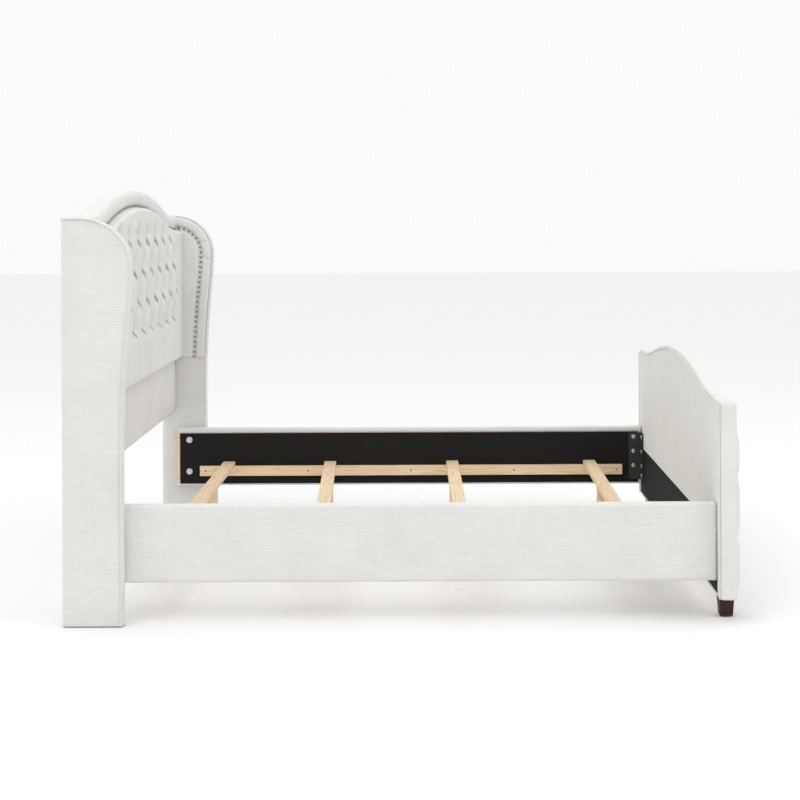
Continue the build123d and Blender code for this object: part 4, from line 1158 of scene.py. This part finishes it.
def makeBolt(headRadius, headHeight, reach):
    # head with a rounded rim and a six-sided socket, standing at the origin, with its shank below
    head = addCylinder(boltParts["sides"], headRadius, headHeight, headHeight / 2)
    rim = head.modifiers.new("rim", "BEVEL")
    rim.width = boltParts["edge"]
    rim.segments = 3
    applyModifier(head, "rim")
    socket = addCylinder(6, boltParts["socketRadius"], 2 * boltParts["socketDepth"], headHeight)
    cut = head.modifiers.new("socket", "BOOLEAN")
    cut.object = socket
    cut.operation = "DIFFERENCE"
    cut.solver = "EXACT"
    applyModifier(head, "socket")
    bpy.data.objects.remove(socket, do_unlink=True)
    shank = addCylinder(boltParts["shankSides"], boltParts["shankRadius"], reach, -reach / 2 - 0.0001)
    whole = joinPieces([head, shank], "boltModel")
    bpy.ops.object.transform_apply(location=True, rotation=True, scale=True)
    return whole


def boltPlaces(nodeName, headHeight):
    # where each bolt's head stands, the way that it faces, and how far the shortest shank reaches
    places, lengths = [], []
    for low, high in solidBoxes(nodeName):
        x, y, z = (low + high) / 2
        size = high - low
        if size[1] > size[0]:
            side = math.copysign(1, y)
            seat = min(abs(low[1]), abs(high[1])) + headHeight
            places.append(((x, side * seat, z), (0, -side, 0)))
        else:
            places.append(((low[0] + headHeight, y, z), (-1, 0, 0)))
        lengths.append(max(size) - headHeight)
    return places, min(lengths)


for nodeName, pieceName, headRadius, headHeight in boltKinds:
    places, reach = boltPlaces(nodeName, headHeight)
    bolts = copyOnto(makeBolt(headRadius, headHeight, reach), places, pieceName)
    finishPiece(bolts, nodeName, zincMetal)
    print("stage:", pieceName, len(places))

button = {
    "radius": 0.0140, "height": 0.0085, "segments": 20, "rings": 12,
    "headX": bed["headFace"] - 0.0010, "footX": bed["footBoardFront"] + 0.0060,
}

buttonPlaces = []
for low, high in solidBoxes("tuft_buttons"):
    x, y, z = (low + high) / 2
    buttonPlaces.append(((button["headX"] if x < 0 else button["footX"], y, z), (1, 0, 0)))
buttons = copyOnto(makeDome(button, flatBack=False), buttonPlaces, "tuftButtons")
finishPiece(buttons, "tuft_buttons", linen)
print("stage: nailheads", len(nailPlaces), "buttons", len(buttonPlaces))


# Finishes of the solids that stay as they are, by the start of their names; the rest is frame wood

finishes = {
    "rail_ledger": pineAlong, "rail_board": pineAlong, "foot_bracket": blackMetal,
    "wood_screws": blackMetal, "footboard_leg": espresso, "glides": glidePlastic,
    "bracket_bolts": zincMetal, "wing_bolts": zincMetal, "tee_nuts": zincMetal, "hanger_bolts": zincMetal,
}
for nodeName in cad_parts:
    material = next((finish for start, finish in finishes.items() if nodeName.startswith(start)), plyWood)
    if nodeName.startswith("slat_"):
        material = pineUpright if "_leg_" in nodeName else pineAcross
    node = bpy.data.objects[nodeName]
    node.data.materials.clear()
    node.data.materials.append(material)
print("stage: solids dressed")


# Camera, floor and light

view = {
    "place": (0.096, -6.622, 1.345), "tilt": 90, "turn": 0.25,
    "lens": 77.4, "sensor": 36.0, "shiftX": -0.0375, "shiftY": -0.238,
}
clearSelection()
turn = (math.radians(view["tilt"]), math.radians(view["turn"]), 0)
bpy.ops.object.camera_add(location=view["place"], rotation=turn)
camera = bpy.context.object
camera.name = "viewCamera"
camera.data.lens = view["lens"]
camera.data.sensor_width = view["sensor"]
camera.data.shift_x = view["shiftX"]
camera.data.shift_y = view["shiftY"]
bpy.context.scene.camera = camera

studio = {
    "floorSize": 60, "floorColor": (0.84, 0.84, 0.84, 1), "floorRoughness": 0.9,
    "horizon": 0.96, "zenith": 1.08, "skyLow": 0.1, "skyHigh": 0.8,
    "lights": (  # name, place, target, size, power
        ("keyLight", (-2.5, -4.5, 5.5), (0, 0, 0.5), 4.0, 70),
        ("fillLight", (5.0, -3.0, 3.5), (0, 0, 0.5), 4.0, 50),
        ("topLight", (0, 0, 7.0), (0, 0, 0), 6.0, 60),
    ),
}
clearSelection()
bpy.ops.mesh.primitive_plane_add(size=studio["floorSize"])
floor = bpy.context.object
floor.name = "studioFloor"
floorMaterial = bpy.data.materials.new("paleFloor")
floorMaterial.use_nodes = True
floorShader = floorMaterial.node_tree.nodes["Principled BSDF"]
floorShader.inputs["Base Color"].default_value = studio["floorColor"]
floorShader.inputs["Roughness"].default_value = studio["floorRoughness"]
floor.data.materials.append(floorMaterial)

for name, place, target, size, power in studio["lights"]:
    clearSelection()
    bpy.ops.object.light_add(type="AREA", location=place)
    lamp = bpy.context.object
    lamp.name = name
    lamp.data.shape = "SQUARE"
    lamp.data.size = size
    lamp.data.energy = power
    lamp.rotation_euler = (Vector(target) - Vector(place)).to_track_quat("-Z", "Y").to_euler()

# the sky brightens a little from the horizon up
world = bpy.data.worlds.new("studioSky")
bpy.context.scene.world = world
world.use_nodes = True
sky = NodeMaker(world.node_tree)
heights = sky.add("ShaderNodeSeparateXYZ")
sky.feed(heights.inputs[0], sky.add("ShaderNodeTexCoord").outputs["Generated"])
climb = sky.add("ShaderNodeMapRange")
skyRange = (heights.outputs[2], studio["skyLow"], studio["skyHigh"], studio["horizon"], studio["zenith"])
for index, value in enumerate(skyRange):
    sky.feed(climb.inputs[index], value)
background = world.node_tree.nodes["Background"].inputs
sky.feed(background["Strength"], climb.outputs[0])
sky.feed(background["Color"], (1, 1, 1, 1))
bpy.context.scene.view_settings.view_transform = "Standard"
print("stage: studio set")
